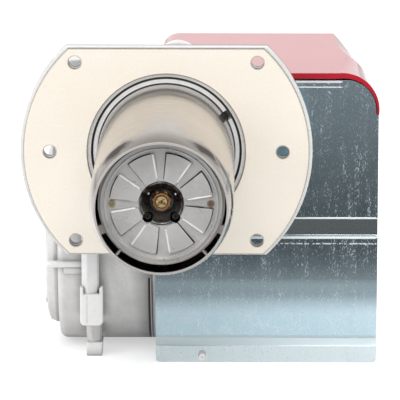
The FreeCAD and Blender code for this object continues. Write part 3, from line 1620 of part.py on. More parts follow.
def base_tray():
    """Tray under the motor and pump, with turned-up edges and a hole for the oil hoses."""
    piece = body("base_tray")
    front = strip_front + d.sheet
    wall = d.sheet
    rise = d.floor_z + d.tray_edge
    pad(piece, "XY", d.floor_z, rise, lambda paper: box_outline(
        paper, tray_left, front, tray_right, tray_rear))
    cut(piece, "XY", tray_top, rise, lambda paper: box_outline(
        paper, tray_left + wall, front + wall, tray_right - wall, tray_rear - wall))
    cut(piece, "XZ", tray_rear - wall, tray_rear, lambda paper: circle(
        paper, d.control_left, d.floor_z + d.tray_edge / 2 + 1, d.gland_radius - 3))
    cut(piece, "XZ", front, cover_foot_front, lambda paper: box_outline(
        paper, tray_left - 1, d.strip_top - 3, tray_right + 1, rise + 1))
    cut(piece, "XZ", front, front + wall, lambda paper: circle(
        paper, strip_screw_x, strip_screw_z, d.screw_radius + d.running_fit))

    half_hole = d.hose_hole_depth / 2
    cut(piece, "XY", d.floor_z, tray_top, lambda paper: rounded_outline(
        paper, pump_left, d.fan_y - half_hole, pump_right, d.fan_y + half_hole, 6))

    def rear_holes(paper):
        for across in cover_screw_places():
            circle(paper, across, cover_screw_z, d.screw_radius + d.running_fit)
    cut(piece, "XZ", tray_rear - wall, tray_rear, rear_holes)
    return piece


def component_shelf():
    """Shelf for the electrical parts, flanged to the side of the air box."""
    piece = body("component_shelf")
    pad(piece, "XY", d.shelf_z, shelf_top, lambda paper: box_outline(
        paper, d.plenum_right, d.shelf_front, d.shelf_right, d.shelf_rear))
    pad(piece, "YZ", d.plenum_right, d.plenum_right + d.sheet, lambda paper: box_outline(
        paper, d.shelf_front, d.shelf_z - d.shelf_flange, d.plenum_rear, d.shelf_z))

    def holes(paper):
        for along in shelf_screw_places():
            circle(paper, along, d.shelf_z - d.shelf_screw_drop, d.screw_radius + d.running_fit)
    cut(piece, "YZ", d.plenum_right, d.plenum_right + d.sheet, holes)
    return piece


def shelf_screw_places():
    """Y of the two screws in the shelf's flange."""
    return d.shelf_front + d.shelf_screw_inset, d.plenum_rear - d.shelf_screw_inset


def sheet_screws():
    """Screws through the shield's lower strip and through the shelf's flange."""
    radius, height = d.screw_head_radius, d.screw_head_height
    screws = [screw("strip_screw", radius, height, d.screw_radius, 6, TOWARD_BOILER)]
    place(screws[0], strip_screw_x, strip_front, strip_screw_z)
    for index, along in enumerate(shelf_screw_places()):
        piece = screw("flange_screw_%d" % index, radius, height, d.screw_radius,
                      d.sheet + d.cast_wall, TOWARD_RIGHT)
        place(piece, d.plenum_right + d.sheet, along, d.shelf_z - d.shelf_screw_drop)
        screws.append(piece)
    return group("sheet_screws", screws)


# Red cover
def shoulder_center(flat, top, side, level, flatness):
    """The centre of the shoulder's arc, farther off the flatter the shoulder is."""
    return ((flat + side) / 2 - (top - level) * flatness,
            (top + level) / 2 - (side - flat) * flatness)


def cover_stations():
    """The cover's sections from front to rear: place, top edge, side, its level, flatness."""
    return [
        (d.cover_front, d.cover_flat_right, d.cover_right, d.cover_shoulder_z,
         d.cover_flatness),
        (d.cover_flare_y, d.cover_flare_flat_right, d.cover_flare_side, d.cover_flare_side_z,
         d.cover_flare_flatness),
        (d.cover_waist_y, d.cover_waist_flat_right, d.cover_waist_side, d.cover_waist_side_z,
         d.cover_waist_flatness),
        (d.cover_rear, d.cover_rear_flat_right, d.cover_rear_side, d.cover_rear_side_z,
         d.cover_rear_flatness),
    ]


def cover_section(paper, inset, station):
    """One section of the cover: flat top, round shoulder and side, open left and below."""
    level_y, flat, side, level, flatness = station
    share = (level_y - d.cover_front) / (d.cover_rear - d.cover_front)
    foot_x = d.cover_side + (d.cover_rear_side - d.cover_side) * share - inset
    top = d.cover_top - inset
    left = d.cover_left + inset
    low = cover_bottom - inset * 6
    side = side - inset
    left_flat = d.cover_left + d.cover_left_round
    left_level = d.cover_top - d.cover_left_round
    outline(paper, [
        (left, low), (foot_x, low), (foot_x, d.cover_side_z), (side, level),
        arc_to(flat, top, *shoulder_center(flat, top, side, level, flatness)),
        (left_flat, top), arc_to(left, left_level, left_flat, left_level)])


def cover():
    """Pressed steel cover with a turned-in front lip, lifted off upward."""
    piece = body("cover")
    wall = d.cover_wall

    def loft(kind, inset):
        sections = []
        stations = cover_stations()
        for index, station in enumerate(stations):
            level_y = station[0]
            if index == 0:
                level_y = level_y + inset
            if index == len(stations) - 1:
                level_y = level_y - inset
            paper = drawing(piece, "XZ", level_y)
            cover_section(paper, inset, station)
            sections.append(paper)
        feature = piece.newObject(kind, "shell")
        feature.Profile = sections[0]
        feature.Sections = sections[1:]
        feature.Ruled = True

    loft("PartDesign::AdditiveLoft", length(0))
    loft("PartDesign::SubtractiveLoft", wall)
    lip_side = d.cover_right - wall * 1.5
    lip_top = d.cover_top - d.cover_lip
    lip_center = shoulder_center(d.cover_flat_right, lip_top, lip_side, d.cover_shoulder_z,
                                 d.cover_flatness)
    cut(piece, "XZ", d.cover_front, d.cover_front + wall, lambda paper: outline(paper, [
        (d.cover_left + wall, cover_bottom - 5), (d.cover_side - wall, cover_bottom - 5),
        (d.cover_side - wall, d.cover_side_z), (lip_side, d.cover_shoulder_z),
        arc_to(d.cover_flat_right, lip_top, *lip_center), (d.cover_left + wall, lip_top)]))
    low = cover_bottom - 10
    cut(piece, "YZ", d.cover_side - 20, d.cover_right + 5, lambda paper: outline(paper, [
        (d.cover_front - 1, low), (cover_foot_front, low), (cover_foot_front, d.curve_bottom),
        (cover_side_front, d.curve_top), (cover_side_front, d.cover_cheek_z),
        (d.cover_front - 1, d.cover_cheek_z)]))
    cut(piece, "XY", d.plenum_bottom - 4, d.cover_top + 1, lambda paper: box_outline(
        paper, d.cover_left - 1, d.cover_front - 1, d.cover_notch_right, d.cover_notch_rear))
    above_motor = d.fan_z + d.motor_radius + 4
    behind_motor = d.fan_y + d.motor_radius + 4
    cut(piece, "XY", above_motor, d.cover_top + 1, lambda paper: box_outline(
        paper, d.cover_left - 1, d.cover_front - 1, d.cover_left + d.cover_left_round,
        d.cover_opening_rear))
    cut(piece, "XY", cover_bottom - 1, above_motor, lambda paper: box_outline(
        paper, d.cover_left - 1, d.cover_front - 1, d.cover_left + wall + 1, behind_motor))
    cut(piece, "XZ", d.cover_rear - wall, d.cover_rear, lambda paper: circle(
        paper, d.control_left + d.control_width / 2, button_z(), d.button_radius + 2))
    cut(piece, "XZ", d.cover_rear - wall, d.cover_rear, lambda paper: rounded_outline(
        paper, d.hose_opening_left, low, d.hose_opening_left + d.hose_opening_width,
        cover_bottom + d.hose_opening_height, 6))

    def screw_slots(paper):
        half = d.screw_radius + d.slide_gap
        for across in cover_screw_places():
            outline(paper, [
                (across - half, low), (across + half, low), (across + half, cover_screw_z),
                arc_to(across, cover_screw_z + half, across, cover_screw_z),
                arc_to(across - half, cover_screw_z, across, cover_screw_z)])
    cut(piece, "XZ", d.cover_rear - wall, d.cover_rear, screw_slots)
    return piece


# Control gear
def button_z():
    """Height of the reset button on the control box."""
    return shelf_top + d.base_height + d.control_height * 0.6


def control_base():
    piece = body("control_base")
    pad(piece, "XY", shelf_top, shelf_top + d.base_height, lambda paper: rounded_outline(
        paper, d.control_left - 3, d.control_rear - d.control_depth - 3,
        d.control_left + d.control_width + 3, d.control_rear + 3, 4))
    return piece


def control_box():
    """Burner control with a recess for its reset button in the rear face."""
    piece = body("control_box")
    low = shelf_top + d.base_height
    pad(piece, "XY", low, low + d.control_height, lambda paper: rounded_outline(
        paper, d.control_left, d.control_rear - d.control_depth,
        d.control_left + d.control_width, d.control_rear, 4))
    middle = d.control_left + d.control_width / 2
    cut(piece, "XZ", d.control_rear - 12, d.control_rear, lambda paper: circle(
        paper, middle, button_z(), d.button_radius + d.slide_gap))
    return piece


def reset_button():
    """Lighted reset button that is pushed in from the rear."""
    middle = d.control_left + d.control_width / 2
    piece = body("reset_button", middle, 0, button_z())
    inner = d.control_rear - 12 + d.button_stroke + 1
    outer = d.control_rear + 9
    turn(piece, "XY", "V_Axis", lambda paper: outline(paper, [
        (0, inner), (d.button_radius, inner), (d.button_radius, outer - 1.5),
        (d.button_radius - 1.5, outer), (0, outer)]))
    return piece


def ignition_transformer():
    """Potted transformer with two lead sockets on its left face."""
    piece = body("ignition_transformer")
    left = d.transformer_left
    pad(piece, "XY", shelf_top, shelf_top + d.transformer_height, lambda paper: rounded_outline(
        paper, left, d.transformer_front, left + d.transformer_width,
        d.transformer_front + d.transformer_depth, 5))
    return piece


def flame_sensor():
    """Light sensor pushed through the rear wall of the air box, pulled out by hand."""
    piece = body("flame_sensor", d.sensor_x, 0, d.sensor_z)
    front = d.plenum_rear - d.sensor_reach
    rear = d.plenum_rear + d.sensor_tail
    inner = d.sensor_radius - 1
    turn(piece, "XY", "V_Axis", lambda paper: outline(paper, [
        (0, front), (inner - 1, front), (inner, front + 1), (inner, d.plenum_rear + 4.3),
        (d.sensor_radius + 1, d.plenum_rear + 4.3), (d.sensor_radius + 1, rear - 2),
        (d.sensor_radius - 1, rear), (0, rear)]))
    return piece


def sensor_bush():
    """Rubber bush round the flame sensor."""
    piece = body("sensor_bush", d.sensor_x, 0, d.sensor_z)
    bore = d.sensor_radius - 1 + d.running_fit
    outer = d.sensor_radius + 2 - seat_fit
    turn(piece, "XY", "V_Axis", lambda paper: outline(paper, [
        (bore, d.plenum_rear - d.cast_wall), (outer, d.plenum_rear - d.cast_wall),
        (outer, d.plenum_rear), (outer + 3, d.plenum_rear), (outer + 3, d.plenum_rear + 4),
        (bore, d.plenum_rear + 4)]))
    return piece


def cable_gland():
    """Gland in the tray's rear edge where the supply cable goes in."""
    piece = body("cable_gland", d.control_left, 0, d.floor_z + d.tray_edge / 2 + 1)
    back = tray_rear
    thread = d.gland_radius - 3 - seat_fit
    turn(piece, "XY", "V_Axis", lambda paper: outline(paper, [
        (4, back - 10), (thread, back - 10), (thread, back), (d.gland_radius - 1, back),
        (d.gland_radius - 1, back + 6), (d.gland_radius - 2.5, back + 12), (4, back + 12)]))
    return piece


def cover_screw_places():
    """X of the two screws at the cover's rear."""
    return d.cover_left + 16, d.cover_rear_side - 16


def cover_screws():
    """Two screws in the tray's rear edge that the cover's open slots drop over."""
    pieces = []
    shank = d.cover_wall + d.seat_gap * 2 + d.sheet + 1
    for index, across in enumerate(cover_screw_places()):
        piece = screw("cover_screw_%d" % index, d.screw_head_radius, d.screw_head_height,
                      d.screw_radius, shank, TOWARD_REAR)
        place(piece, across, d.cover_rear + d.seat_gap, cover_screw_z)
        pieces.append(piece)
    return group("cover_screws", pieces)


def build():
    """Every piece of the burner, in the order in which it is put together."""
    collar = tube_clamp_ring()
    collar_screw_holes(collar)
    return [
        flange_plate("flange_gasket", d.gasket_radius, d.gasket_half_height,
                     gasket_bore, length(0), d.gasket_thickness),
        flange_plate("mounting_flange", d.flange_radius, d.flange_half_height,
                     flange_bore, d.gasket_thickness, d.flange_thickness),
        collar, collar_screw(), blast_tube(), diffuser_disc(), head_ring(), disc_screws(),
        disc_bracket(), hub_cup(), nozzle(), nozzle_holder(), gun_pipe(), gun_bush(),
        insulator("insulator_left", -1), insulator("insulator_right", 1),
        electrode("electrode_left", -1), electrode("electrode_right", 1), electrode_clamp(),
        ignition_leads(),
        fan_housing(), motor_plate(), inlet_cover(), air_damper(), damper_knob(),
        damper_pivot(), inlet_cover_screws(), fan_wheel(), motor_shaft(),
        ring_on_axis("rotor_core", motor_left + (d.motor_length - d.rotor_length) / 2,
                     motor_left + (d.motor_length + d.rotor_length) / 2,
                     d.shaft_radius + seat_fit, d.rotor_radius),
        stator(),
        ring_on_axis("motor_shell", motor_left, motor_right,
                     d.motor_radius - d.motor_wall, d.motor_radius),
        motor_bearings(), motor_end_bell(), run_capacitor(), pump_bracket(),
        pump_coupling(), pump_shaft(),
        pump_body(), pump_cover(), pump_cover_screws(), pressure_screw(), oil_unions(),
        valve_coil(), valve_stem(), oil_pipe(), front_shield(), base_tray(),
        component_shelf(), sheet_screws(), cover(), cover_screws(),
        control_base(), control_box(), reset_button(), ignition_transformer(),
        flame_sensor(), sensor_bush(), cable_gland(),
    ]


pieces = build()
doc.recompute()

for thing in doc.Objects:
    if "Invalid" in thing.State or "Error" in thing.State:
        raise RuntimeError("%s did not build: %s" % (thing.Label, thing.State))

os.makedirs("parts", exist_ok=True)
for piece in pieces:
    shape = piece.Shape
    if shape.isNull() or not shape.isValid():
        raise RuntimeError("%s has no sound shape" % piece.Label)
    shape.exportStep(os.path.join("parts", piece.Label + ".step"))
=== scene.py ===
import math
import bmesh
import bpy
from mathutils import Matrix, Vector


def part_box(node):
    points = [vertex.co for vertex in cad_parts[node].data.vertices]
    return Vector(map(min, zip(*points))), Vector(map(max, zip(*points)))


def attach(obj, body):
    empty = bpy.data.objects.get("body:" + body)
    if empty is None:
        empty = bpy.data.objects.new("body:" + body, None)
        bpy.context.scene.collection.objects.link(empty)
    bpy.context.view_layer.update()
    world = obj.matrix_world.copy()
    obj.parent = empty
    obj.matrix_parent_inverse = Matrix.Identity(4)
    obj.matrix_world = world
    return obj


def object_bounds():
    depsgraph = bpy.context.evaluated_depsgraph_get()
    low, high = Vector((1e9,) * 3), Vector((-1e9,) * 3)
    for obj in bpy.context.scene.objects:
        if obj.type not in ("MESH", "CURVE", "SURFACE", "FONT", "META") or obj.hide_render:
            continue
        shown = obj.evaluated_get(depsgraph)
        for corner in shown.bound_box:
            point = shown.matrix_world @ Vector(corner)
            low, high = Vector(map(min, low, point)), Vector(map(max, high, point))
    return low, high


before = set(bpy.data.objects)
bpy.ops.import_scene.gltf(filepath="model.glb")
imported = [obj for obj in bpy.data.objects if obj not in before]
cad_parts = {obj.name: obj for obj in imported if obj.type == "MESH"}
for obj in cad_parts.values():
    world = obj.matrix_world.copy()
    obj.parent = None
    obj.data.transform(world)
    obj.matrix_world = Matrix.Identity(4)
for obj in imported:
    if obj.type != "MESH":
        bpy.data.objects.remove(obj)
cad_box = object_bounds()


# The camera stands well back in front of the blast tube and a little above it, with a long
# lens. Its place comes from the flange's corner holes, the tube's rims and the front sheet.
lens = bpy.data.cameras.new("photo_camera")
lens.sensor_width = 36
lens.lens = 327.6
lens.clip_start = 0.1
lens.clip_end = 100
camera = bpy.data.objects.new("photo_camera", lens)
bpy.context.scene.collection.objects.link(camera)
camera.location = (0.0728, -3.6504, 0.7657)
looking = Vector((-0.01022, 0.97587, -0.21814))
camera.rotation_mode = "QUATERNION"
camera.rotation_quaternion = looking.to_track_quat("-Z", "Y")
bpy.context.scene.camera = camera
bpy.context.scene.view_settings.view_transform = "Standard"


# The studio: a pale floor under the burner's foot and tray, a pale surround that metal also
# sees, a dark cloth on the floor in front that the sheet steel mirrors, and soft lamps.
floor_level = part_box("base_tray")[0][2]
paper_shade = 0.86
paper_glow = 0.3
white = (1, 1, 1, 1)


def linear(value):
    """One channel of a colour as seen on a screen, turned to light."""
    value = value / 255
    if value <= 0.04045:
        return value / 12.92
    return ((value + 0.055) / 1.055) ** 2.4


def tone(red, green, blue):
    """A colour as it is read off a screen, 0 to 255."""
    return (linear(red), linear(green), linear(blue), 1)


def join(tree, value, socket):
    """Link another socket to this one, or set it where the value is a number or a colour."""
    if isinstance(value, bpy.types.NodeSocket):
        tree.links.new(value, socket)
    else:
        socket.default_value = value


def math_node(tree, operation, first, second=0.5, clamp=False):
    """One sum on two values, each a socket or a number."""
    node = tree.nodes.new("ShaderNodeMath")
    node.operation = operation
    node.use_clamp = clamp
    join(tree, first, node.inputs[0])
    join(tree, second, node.inputs[1])
    return node.outputs[0]


def spread(tree, value, low, high, to_low=0.0, to_high=1.0):
    """Stretch a value from one range to another, held at both ends."""
    node = tree.nodes.new("ShaderNodeMapRange")
    node.inputs["From Min"].default_value = low
    node.inputs["From Max"].default_value = high
    node.inputs["To Min"].default_value = to_low
    node.inputs["To Max"].default_value = to_high
    join(tree, value, node.inputs["Value"])
    return node.outputs[0]


def parts_of(tree, vector):
    """X, Y and Z of a place or a direction, asked for by letter."""
    node = tree.nodes.new("ShaderNodeSeparateXYZ")
    join(tree, vector, node.inputs[0])
    return node.outputs


def bare_material(name):
    """A new material with its output only."""
    material = bpy.data.materials.new(name)
    material.use_nodes = True
    tree = material.node_tree
    tree.nodes.clear()
    end = tree.nodes.new("ShaderNodeOutputMaterial")
    return material, tree, end


def glowing_paper(tree, end, shade, strength):
    """A matt surface with a glow of its own."""
    paper = tree.nodes.new("ShaderNodeBsdfDiffuse")
    join(tree, shade, paper.inputs["Color"])
    glow = tree.nodes.new("ShaderNodeEmission")
    glow.inputs["Color"].default_value = white
    join(tree, strength, glow.inputs["Strength"])
    both = tree.nodes.new("ShaderNodeAddShader")
    join(tree, paper.outputs[0], both.inputs[0])
    join(tree, glow.outputs[0], both.inputs[1])
    join(tree, both.outputs[0], end.inputs["Surface"])


def pale_floor():
    """White paper floor that still takes the burner's soft shadow."""
    material, tree, end = bare_material("pale_floor")
    rays = tree.nodes.new("ShaderNodeLightPath").outputs
    seen = math_node(tree, "MULTIPLY", rays["Is Camera Ray"], 0.5)
    mirrored = math_node(tree, "MULTIPLY", rays["Is Glossy Ray"], paper_glow)
    strength = math_node(tree, "MAXIMUM", seen, mirrored)
    glowing_paper(tree, end, (paper_shade, paper_shade, paper_shade, 1), strength)
    return material


bpy.ops.mesh.primitive_plane_add(size=60, location=(0, 0, floor_level))
studio_floor = bpy.context.object
studio_floor.name = "studio_floor"
studio_floor.data.materials.append(pale_floor())

surround = bpy.data.worlds.new("pale_surround")
surround.use_nodes = True
bpy.context.scene.world = surround
sky = surround.node_tree
sky.nodes.clear()
sky_end = sky.nodes.new("ShaderNodeOutputWorld")
sky_light = sky.nodes.new("ShaderNodeBackground")
sky_light.inputs["Color"].default_value = white
join(sky, sky_light.outputs[0], sky_end.inputs["Surface"])
sky_rays = sky.nodes.new("ShaderNodeLightPath").outputs
sky_way = parts_of(sky, sky.nodes.new("ShaderNodeTexCoord").outputs["Generated"])


def sky_choice(kind, otherwise, chosen):
    """One strength for a kind of ray and another for all the rest."""
    node = sky.nodes.new("ShaderNodeMix")
    join(sky, sky_rays[kind], node.inputs["Factor"])
    join(sky, otherwise, node.inputs["A"])
    join(sky, chosen, node.inputs["B"])
    return node.outputs["Result"]


dim_above = spread(sky, sky_way["Z"], 0.4, 0.95, 1.0, 0.5)
dim_in_front = spread(sky, sky_way["Y"], -0.95, -0.4, 0.65, 1.0)
sky_in_metal = math_node(sky, "MULTIPLY", dim_above, dim_in_front)
sky_strength = sky_choice("Is Camera Ray", 0.42, 1.0)
sky_strength = sky_choice("Is Transmission Ray", sky_strength, 1.0)
sky_strength = sky_choice("Is Glossy Ray", sky_strength, sky_in_metal)
join(sky, sky_strength, sky_light.inputs["Strength"])


def dark_cloth():
    """Cloth that only metal sees; near the burner it is as pale as the floor under it."""
    material, tree, end = bare_material("dark_cloth")
    along = parts_of(tree, tree.nodes.new("ShaderNodeNewGeometry").outputs["Position"])["Y"]
    share = spread(tree, along, 0.0, -0.088, 1.0, 0.43)
    share = math_node(tree, "MULTIPLY", share, spread(tree, along, -0.26, -0.39, 1.0, 0.15))
    share = math_node(tree, "MULTIPLY", share, spread(tree, along, -0.6, -1.4, 1.0, 3.5))
    glowing_paper(tree, end, math_node(tree, "MULTIPLY", share, paper_shade),
                  math_node(tree, "MULTIPLY", share, paper_glow))
    return material


bpy.ops.mesh.primitive_plane_add(size=1, location=(0.2, -1.8, floor_level + 0.004))
floor_cloth = bpy.context.object
floor_cloth.name = "floor_cloth"
floor_cloth.scale = (1.9, 3.6, 1)
floor_cloth.data.materials.append(dark_cloth())
floor_cloth.visible_camera = False
floor_cloth.visible_diffuse = False
floor_cloth.visible_shadow = False


def soft_lamp(name, place, aim, size, power):
    """A large square lamp turned toward a point on the burner."""
    light = bpy.data.lights.new(name, "AREA")
    light.size = size
    light.energy = power
    lamp = bpy.data.objects.new(name, light)
    bpy.context.scene.collection.objects.link(lamp)
    lamp.location = place
    lamp.rotation_mode = "QUATERNION"
    lamp.rotation_quaternion = (Vector(aim) - Vector(place)).to_track_quat("-Z", "Y")
    return lamp


soft_lamp("top_lamp", (0.2, 0.1, 2.4), (0.05, 0.05, 0), 2.4, 34)
soft_lamp("front_lamp", (0.1, -3.4, 2.8), (0.05, 0, -0.05), 3.2, 72)
soft_lamp("left_lamp", (-2.4, -1.6, 1.2), (0, 0, 0), 1.6, 28)
soft_lamp("right_lamp", (2.6, -1.4, 1.0), (0.1, 0, 0), 1.4, 12)
back_lamp = soft_lamp("back_lamp", (0.4, 2.6, 1.4), (0.1, 0.2, 0), 1.6, 14)
back_lamp.visible_glossy = False


# The gasket is pressed mineral fibre board, punched to the flange's outline and laid on its
# front. The face is cream and a little uneven. Its cut edges, its bore and its sides are
# darkened with painted shade, for the shadow in the gap to the flange.
NUMBER = "NodeSocketFloat"
COLOUR = "NodeSocketColor"
ARROW = "NodeSocketVector"


def new_group(name, inputs, outputs):
    """A shader node group with named sockets; every group has the place it looks at."""
    group = bpy.data.node_groups.new(name, "ShaderNodeTree")
    for label, kind, start in [("Where", ARROW, (0, 0, 0))] + inputs:
        socket = group.interface.new_socket(label, in_out="INPUT", socket_type=kind)
        socket.default_value = start
    for label, kind in outputs:
        group.interface.new_socket(label, in_out="OUTPUT", socket_type=kind)
    entry = group.nodes.new("NodeGroupInput").outputs
    leave = group.nodes.new("NodeGroupOutput").inputs
    return group, entry, leave


def use_group(tree, group, where, **values):
    """Place a shared effect and give its results by name; underscores stand for spaces."""
    node = tree.nodes.new("ShaderNodeGroup")
    node.node_tree = group
    join(tree, where, node.inputs["Where"])
    for label, value in values.items():
        join(tree, value, node.inputs[label.replace("_", " ")])
    return node.outputs


def vector_node(tree, operation, first, second=(0, 0, 0)):
    """One step on two places or directions, each a socket or three numbers."""
    node = tree.nodes.new("ShaderNodeVectorMath")
    node.operation = operation
    join(tree, first, node.inputs[0])
    join(tree, second, node.inputs[1])
    if operation in ("LENGTH", "DOT_PRODUCT"):
        return node.outputs["Value"]
    return node.outputs["Vector"]


def noise_node(tree, where, scale, detail=4.0, rough=0.55, distortion=0.0):
    """Soft noise; the scale is a socket or a number, in cycles per metre."""
    node = tree.nodes.new("ShaderNodeTexNoise")
    node.inputs["Detail"].default_value = detail
    node.inputs["Roughness"].default_value = rough
    node.inputs["Distortion"].default_value = distortion
    join(tree, where, node.inputs["Vector"])
    join(tree, scale, node.inputs["Scale"])
    return node.outputs["Fac"]


def cell_node(tree, where, scale):
    """A pattern of small cells, each with its own colour and a distance from its middle."""
    node = tree.nodes.new("ShaderNodeTexVoronoi")
    join(tree, where, node.inputs["Vector"])
    join(tree, scale, node.inputs["Scale"])
    return node.outputs


def mix_colours(tree, share, first, second):
    """Two colours mixed; each is a socket or a colour."""
    node = tree.nodes.new("ShaderNodeMix")
    node.data_type = "RGBA"
    join(tree, share, node.inputs["Factor"])
    join(tree, first, node.inputs[6])
    join(tree, second, node.inputs[7])
    return node.outputs[2]


def facing(tree):
    """X, Y and Z of the way that the surface looks."""
    return parts_of(tree, tree.nodes.new("ShaderNodeNewGeometry").outputs["Normal"])


def side_faces(tree, share):
    """Marks the faces that look neither to the front nor to the back."""
    return spread(tree, math_node(tree, "ABSOLUTE", facing(tree)["Y"]), 0.5, 0.7, share, 0.0)


def cloudy_group():
    """Slow drift between two tones with a finer grain over it."""
    group, entry, leave = new_group(
        "cloudy_tone",
        [("Light Tone", COLOUR, white), ("Dark Tone", COLOUR, (0, 0, 0, 1)),
         ("Cloud Scale", NUMBER, 8), ("Grain Scale", NUMBER, 300), ("Grain Share", NUMBER, 0.3)],
        [("Tone", COLOUR), ("Mask", NUMBER)])
    clouds = noise_node(group, entry["Where"], entry["Cloud Scale"], 3)
    grain = noise_node(group, entry["Where"], entry["Grain Scale"], 2)
    clouds = spread(group, clouds, 0.3, 0.7)
    grain = spread(group, grain, 0.3, 0.7)
    gap = math_node(group, "SUBTRACT", grain, clouds)
    moved = math_node(group, "MULTIPLY", gap, entry["Grain Share"])
    mask = math_node(group, "ADD", clouds, moved, clamp=True)
    join(group, mask, leave["Mask"])
    join(group, mix_colours(group, mask, entry["Dark Tone"], entry["Light Tone"]), leave["Tone"])
    return group


def worn_edge_group():
    """Finds outer edges by comparing a rounded normal with the true one."""
    group, entry, leave = new_group(
        "worn_edge",
        [("Break Up Scale", NUMBER, 120), ("Strength", NUMBER, 6), ("Reach", NUMBER, 0.0012)],
        [("Mask", NUMBER), ("Whole Edge", NUMBER), ("Rounded Normal", ARROW)])
    rounded = group.nodes.new("ShaderNodeBevel")
    rounded.samples = 4
    join(group, entry["Reach"], rounded.inputs["Radius"])
    true_side = group.nodes.new("ShaderNodeNewGeometry").outputs["Normal"]
    likeness = vector_node(group, "DOT_PRODUCT", rounded.outputs[0], true_side)
    bent = math_node(group, "SUBTRACT", 1.0, likeness)
    strong = math_node(group, "MULTIPLY", bent, entry["Strength"])
    patches = noise_node(group, entry["Where"], entry["Break Up Scale"], 3)
    patches = spread(group, patches, 0.4, 0.6)
    join(group, math_node(group, "MULTIPLY", strong, patches, clamp=True), leave["Mask"])
    join(group, math_node(group, "MULTIPLY", strong, 1.0, clamp=True), leave["Whole Edge"])
    join(group, rounded.outputs[0], leave["Rounded Normal"])
    return group


def ring_line_group():
    """A soft-edged ring about the tube's axis, for the gaps' painted shade and the lines that run
    round it.
    """
    group, entry, leave = new_group(
        "ring_line", [("Radius", NUMBER, 0.08), ("Half Width", NUMBER, 0.0006)],
        [("Mask", NUMBER)])
    flat = vector_node(group, "MULTIPLY", entry["Where"], (1, 0, 1))
    reach = vector_node(group, "LENGTH", flat)
    off = math_node(group, "ABSOLUTE", math_node(group, "SUBTRACT", reach, entry["Radius"]))
    share = math_node(group, "DIVIDE", off, entry["Half Width"])
    join(group, spread(group, share, 0.7, 1.3, 1.0, 0.0), leave["Mask"])
    return group


cloudy_tone = cloudy_group()
worn_edge = worn_edge_group()
ring_line = ring_line_group()


def clouded(tree, where, light, dark, cloud_scale, grain_scale, grain_share):
    """Two tones in slow clouds with a grain over them."""
    return use_group(tree, cloudy_tone, where, Light_Tone=light, Dark_Tone=dark,
                     Cloud_Scale=cloud_scale, Grain_Scale=grain_scale, Grain_Share=grain_share)


def edges_of(tree, where, break_up, strength, reach):
    """The piece's outer edges: broken up, whole, and eased for the light."""
    return use_group(tree, worn_edge, where, Break_Up_Scale=break_up, Strength=strength,
                     Reach=reach)


def ring_mask(tree, where, radius, half_width):
    """Marks a ring about the tube's axis."""
    return use_group(tree, ring_line, where, Radius=radius, Half_Width=half_width)["Mask"]


def start_finish(name, metallic, roughness, coat=0.0):
    """A material with its main shader and the place on the piece that patterns follow."""
    material, tree, end = bare_material(name)
    shader = tree.nodes.new("ShaderNodeBsdfPrincipled")
    shader.inputs["Metallic"].default_value = metallic
    shader.inputs["Roughness"].default_value = roughness
    shader.inputs["Coat Weight"].default_value = coat
    join(tree, shader.outputs[0], end.inputs["Surface"])
    where = tree.nodes.new("ShaderNodeTexCoord").outputs["Object"]
    return material, tree, shader, where


def set_sheen(tree, shader, mask, at_low, at_high, low=0.0, high=1.0):
    """Roughness that follows a mask."""
    join(tree, spread(tree, mask, low, high, at_low, at_high), shader.inputs["Roughness"])


def raise_relief(tree, shader, height, distance, strength, normal=None):
    """Feed a height to the shader's normal; the distance is the relief's depth in metres."""
    bump = tree.nodes.new("ShaderNodeBump")
    bump.inputs["Distance"].default_value = distance
    bump.inputs["Strength"].default_value = strength
    join(tree, height, bump.inputs["Height"])
    if normal is not None:
        join(tree, normal, bump.inputs["Normal"])
    join(tree, bump.outputs[0], shader.inputs["Normal"])


def dress(material, *names):
    """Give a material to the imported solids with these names."""
    for name in names:
        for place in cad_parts[name].material_slots:
            place.link = "OBJECT"
            place.material = material


def fibre_board():
    material, tree, shader, where = start_finish("fibre_board", 0.0, 0.82)
    clouds = clouded(tree, where, tone(247, 241, 230), tone(239, 230, 216), 6.0, 420.0, 0.4)
    specks = spread(tree, cell_node(tree, where, 260)["Distance"], 0.0, 0.16, 0.25, 0.0)
    board = mix_colours(tree, specks, clouds["Tone"], tone(218, 206, 186))
    # Painted shade: the outline, the bore's rim and the side faces go dark for the gap's shadow.
    outline = edges_of(tree, where, 40.0, 40.0, 0.002)["Whole Edge"]
    bore_edge = ring_mask(tree, where, 0.0811, 0.0006)
    dark = math_node(tree, "MAXIMUM", outline, bore_edge)
    dark = math_node(tree, "MAXIMUM", dark, side_faces(tree, 1.0))
    edge_gap_shade = math_node(tree, "MULTIPLY", dark, 0.85)
    join(tree, mix_colours(tree, edge_gap_shade, board, tone(84, 80, 76)), shader.inputs["Base Color"])
    set_sheen(tree, shader, clouds["Mask"], 0.72, 0.9)
    raise_relief(tree, shader, noise_node(tree, where, 900.0, 3), 0.00025, 0.6)
    return material


dress(fibre_board(), "flange_gasket")


# The flange is a machined aluminium plate. The split clamp ring sits in its bore, is cast in
# the same metal, and one socket screw draws it shut on the tube.
def lines_group():
    """Fine parallel lines left by a tool or a polishing belt, run along two of the axes."""
    group, entry, leave = new_group(
        "tool_lines", [("Stretch", ARROW, (1, 1, 1)), ("Line Scale", NUMBER, 600)],
        [("Height", NUMBER), ("Mask", NUMBER)])
    pulled = vector_node(group, "MULTIPLY", entry["Where"], entry["Stretch"])
    fine = noise_node(group, pulled, entry["Line Scale"], 3, 0.7)
    broad = noise_node(group, pulled, math_node(group, "DIVIDE", entry["Line Scale"], 6.0), 2)
    height = math_node(group, "MULTIPLY", math_node(group, "ADD", fine, broad), 0.5)
    join(group, height, leave["Height"])
    join(group, spread(group, height, 0.4, 0.6), leave["Mask"])
    return group


tool_lines = lines_group()


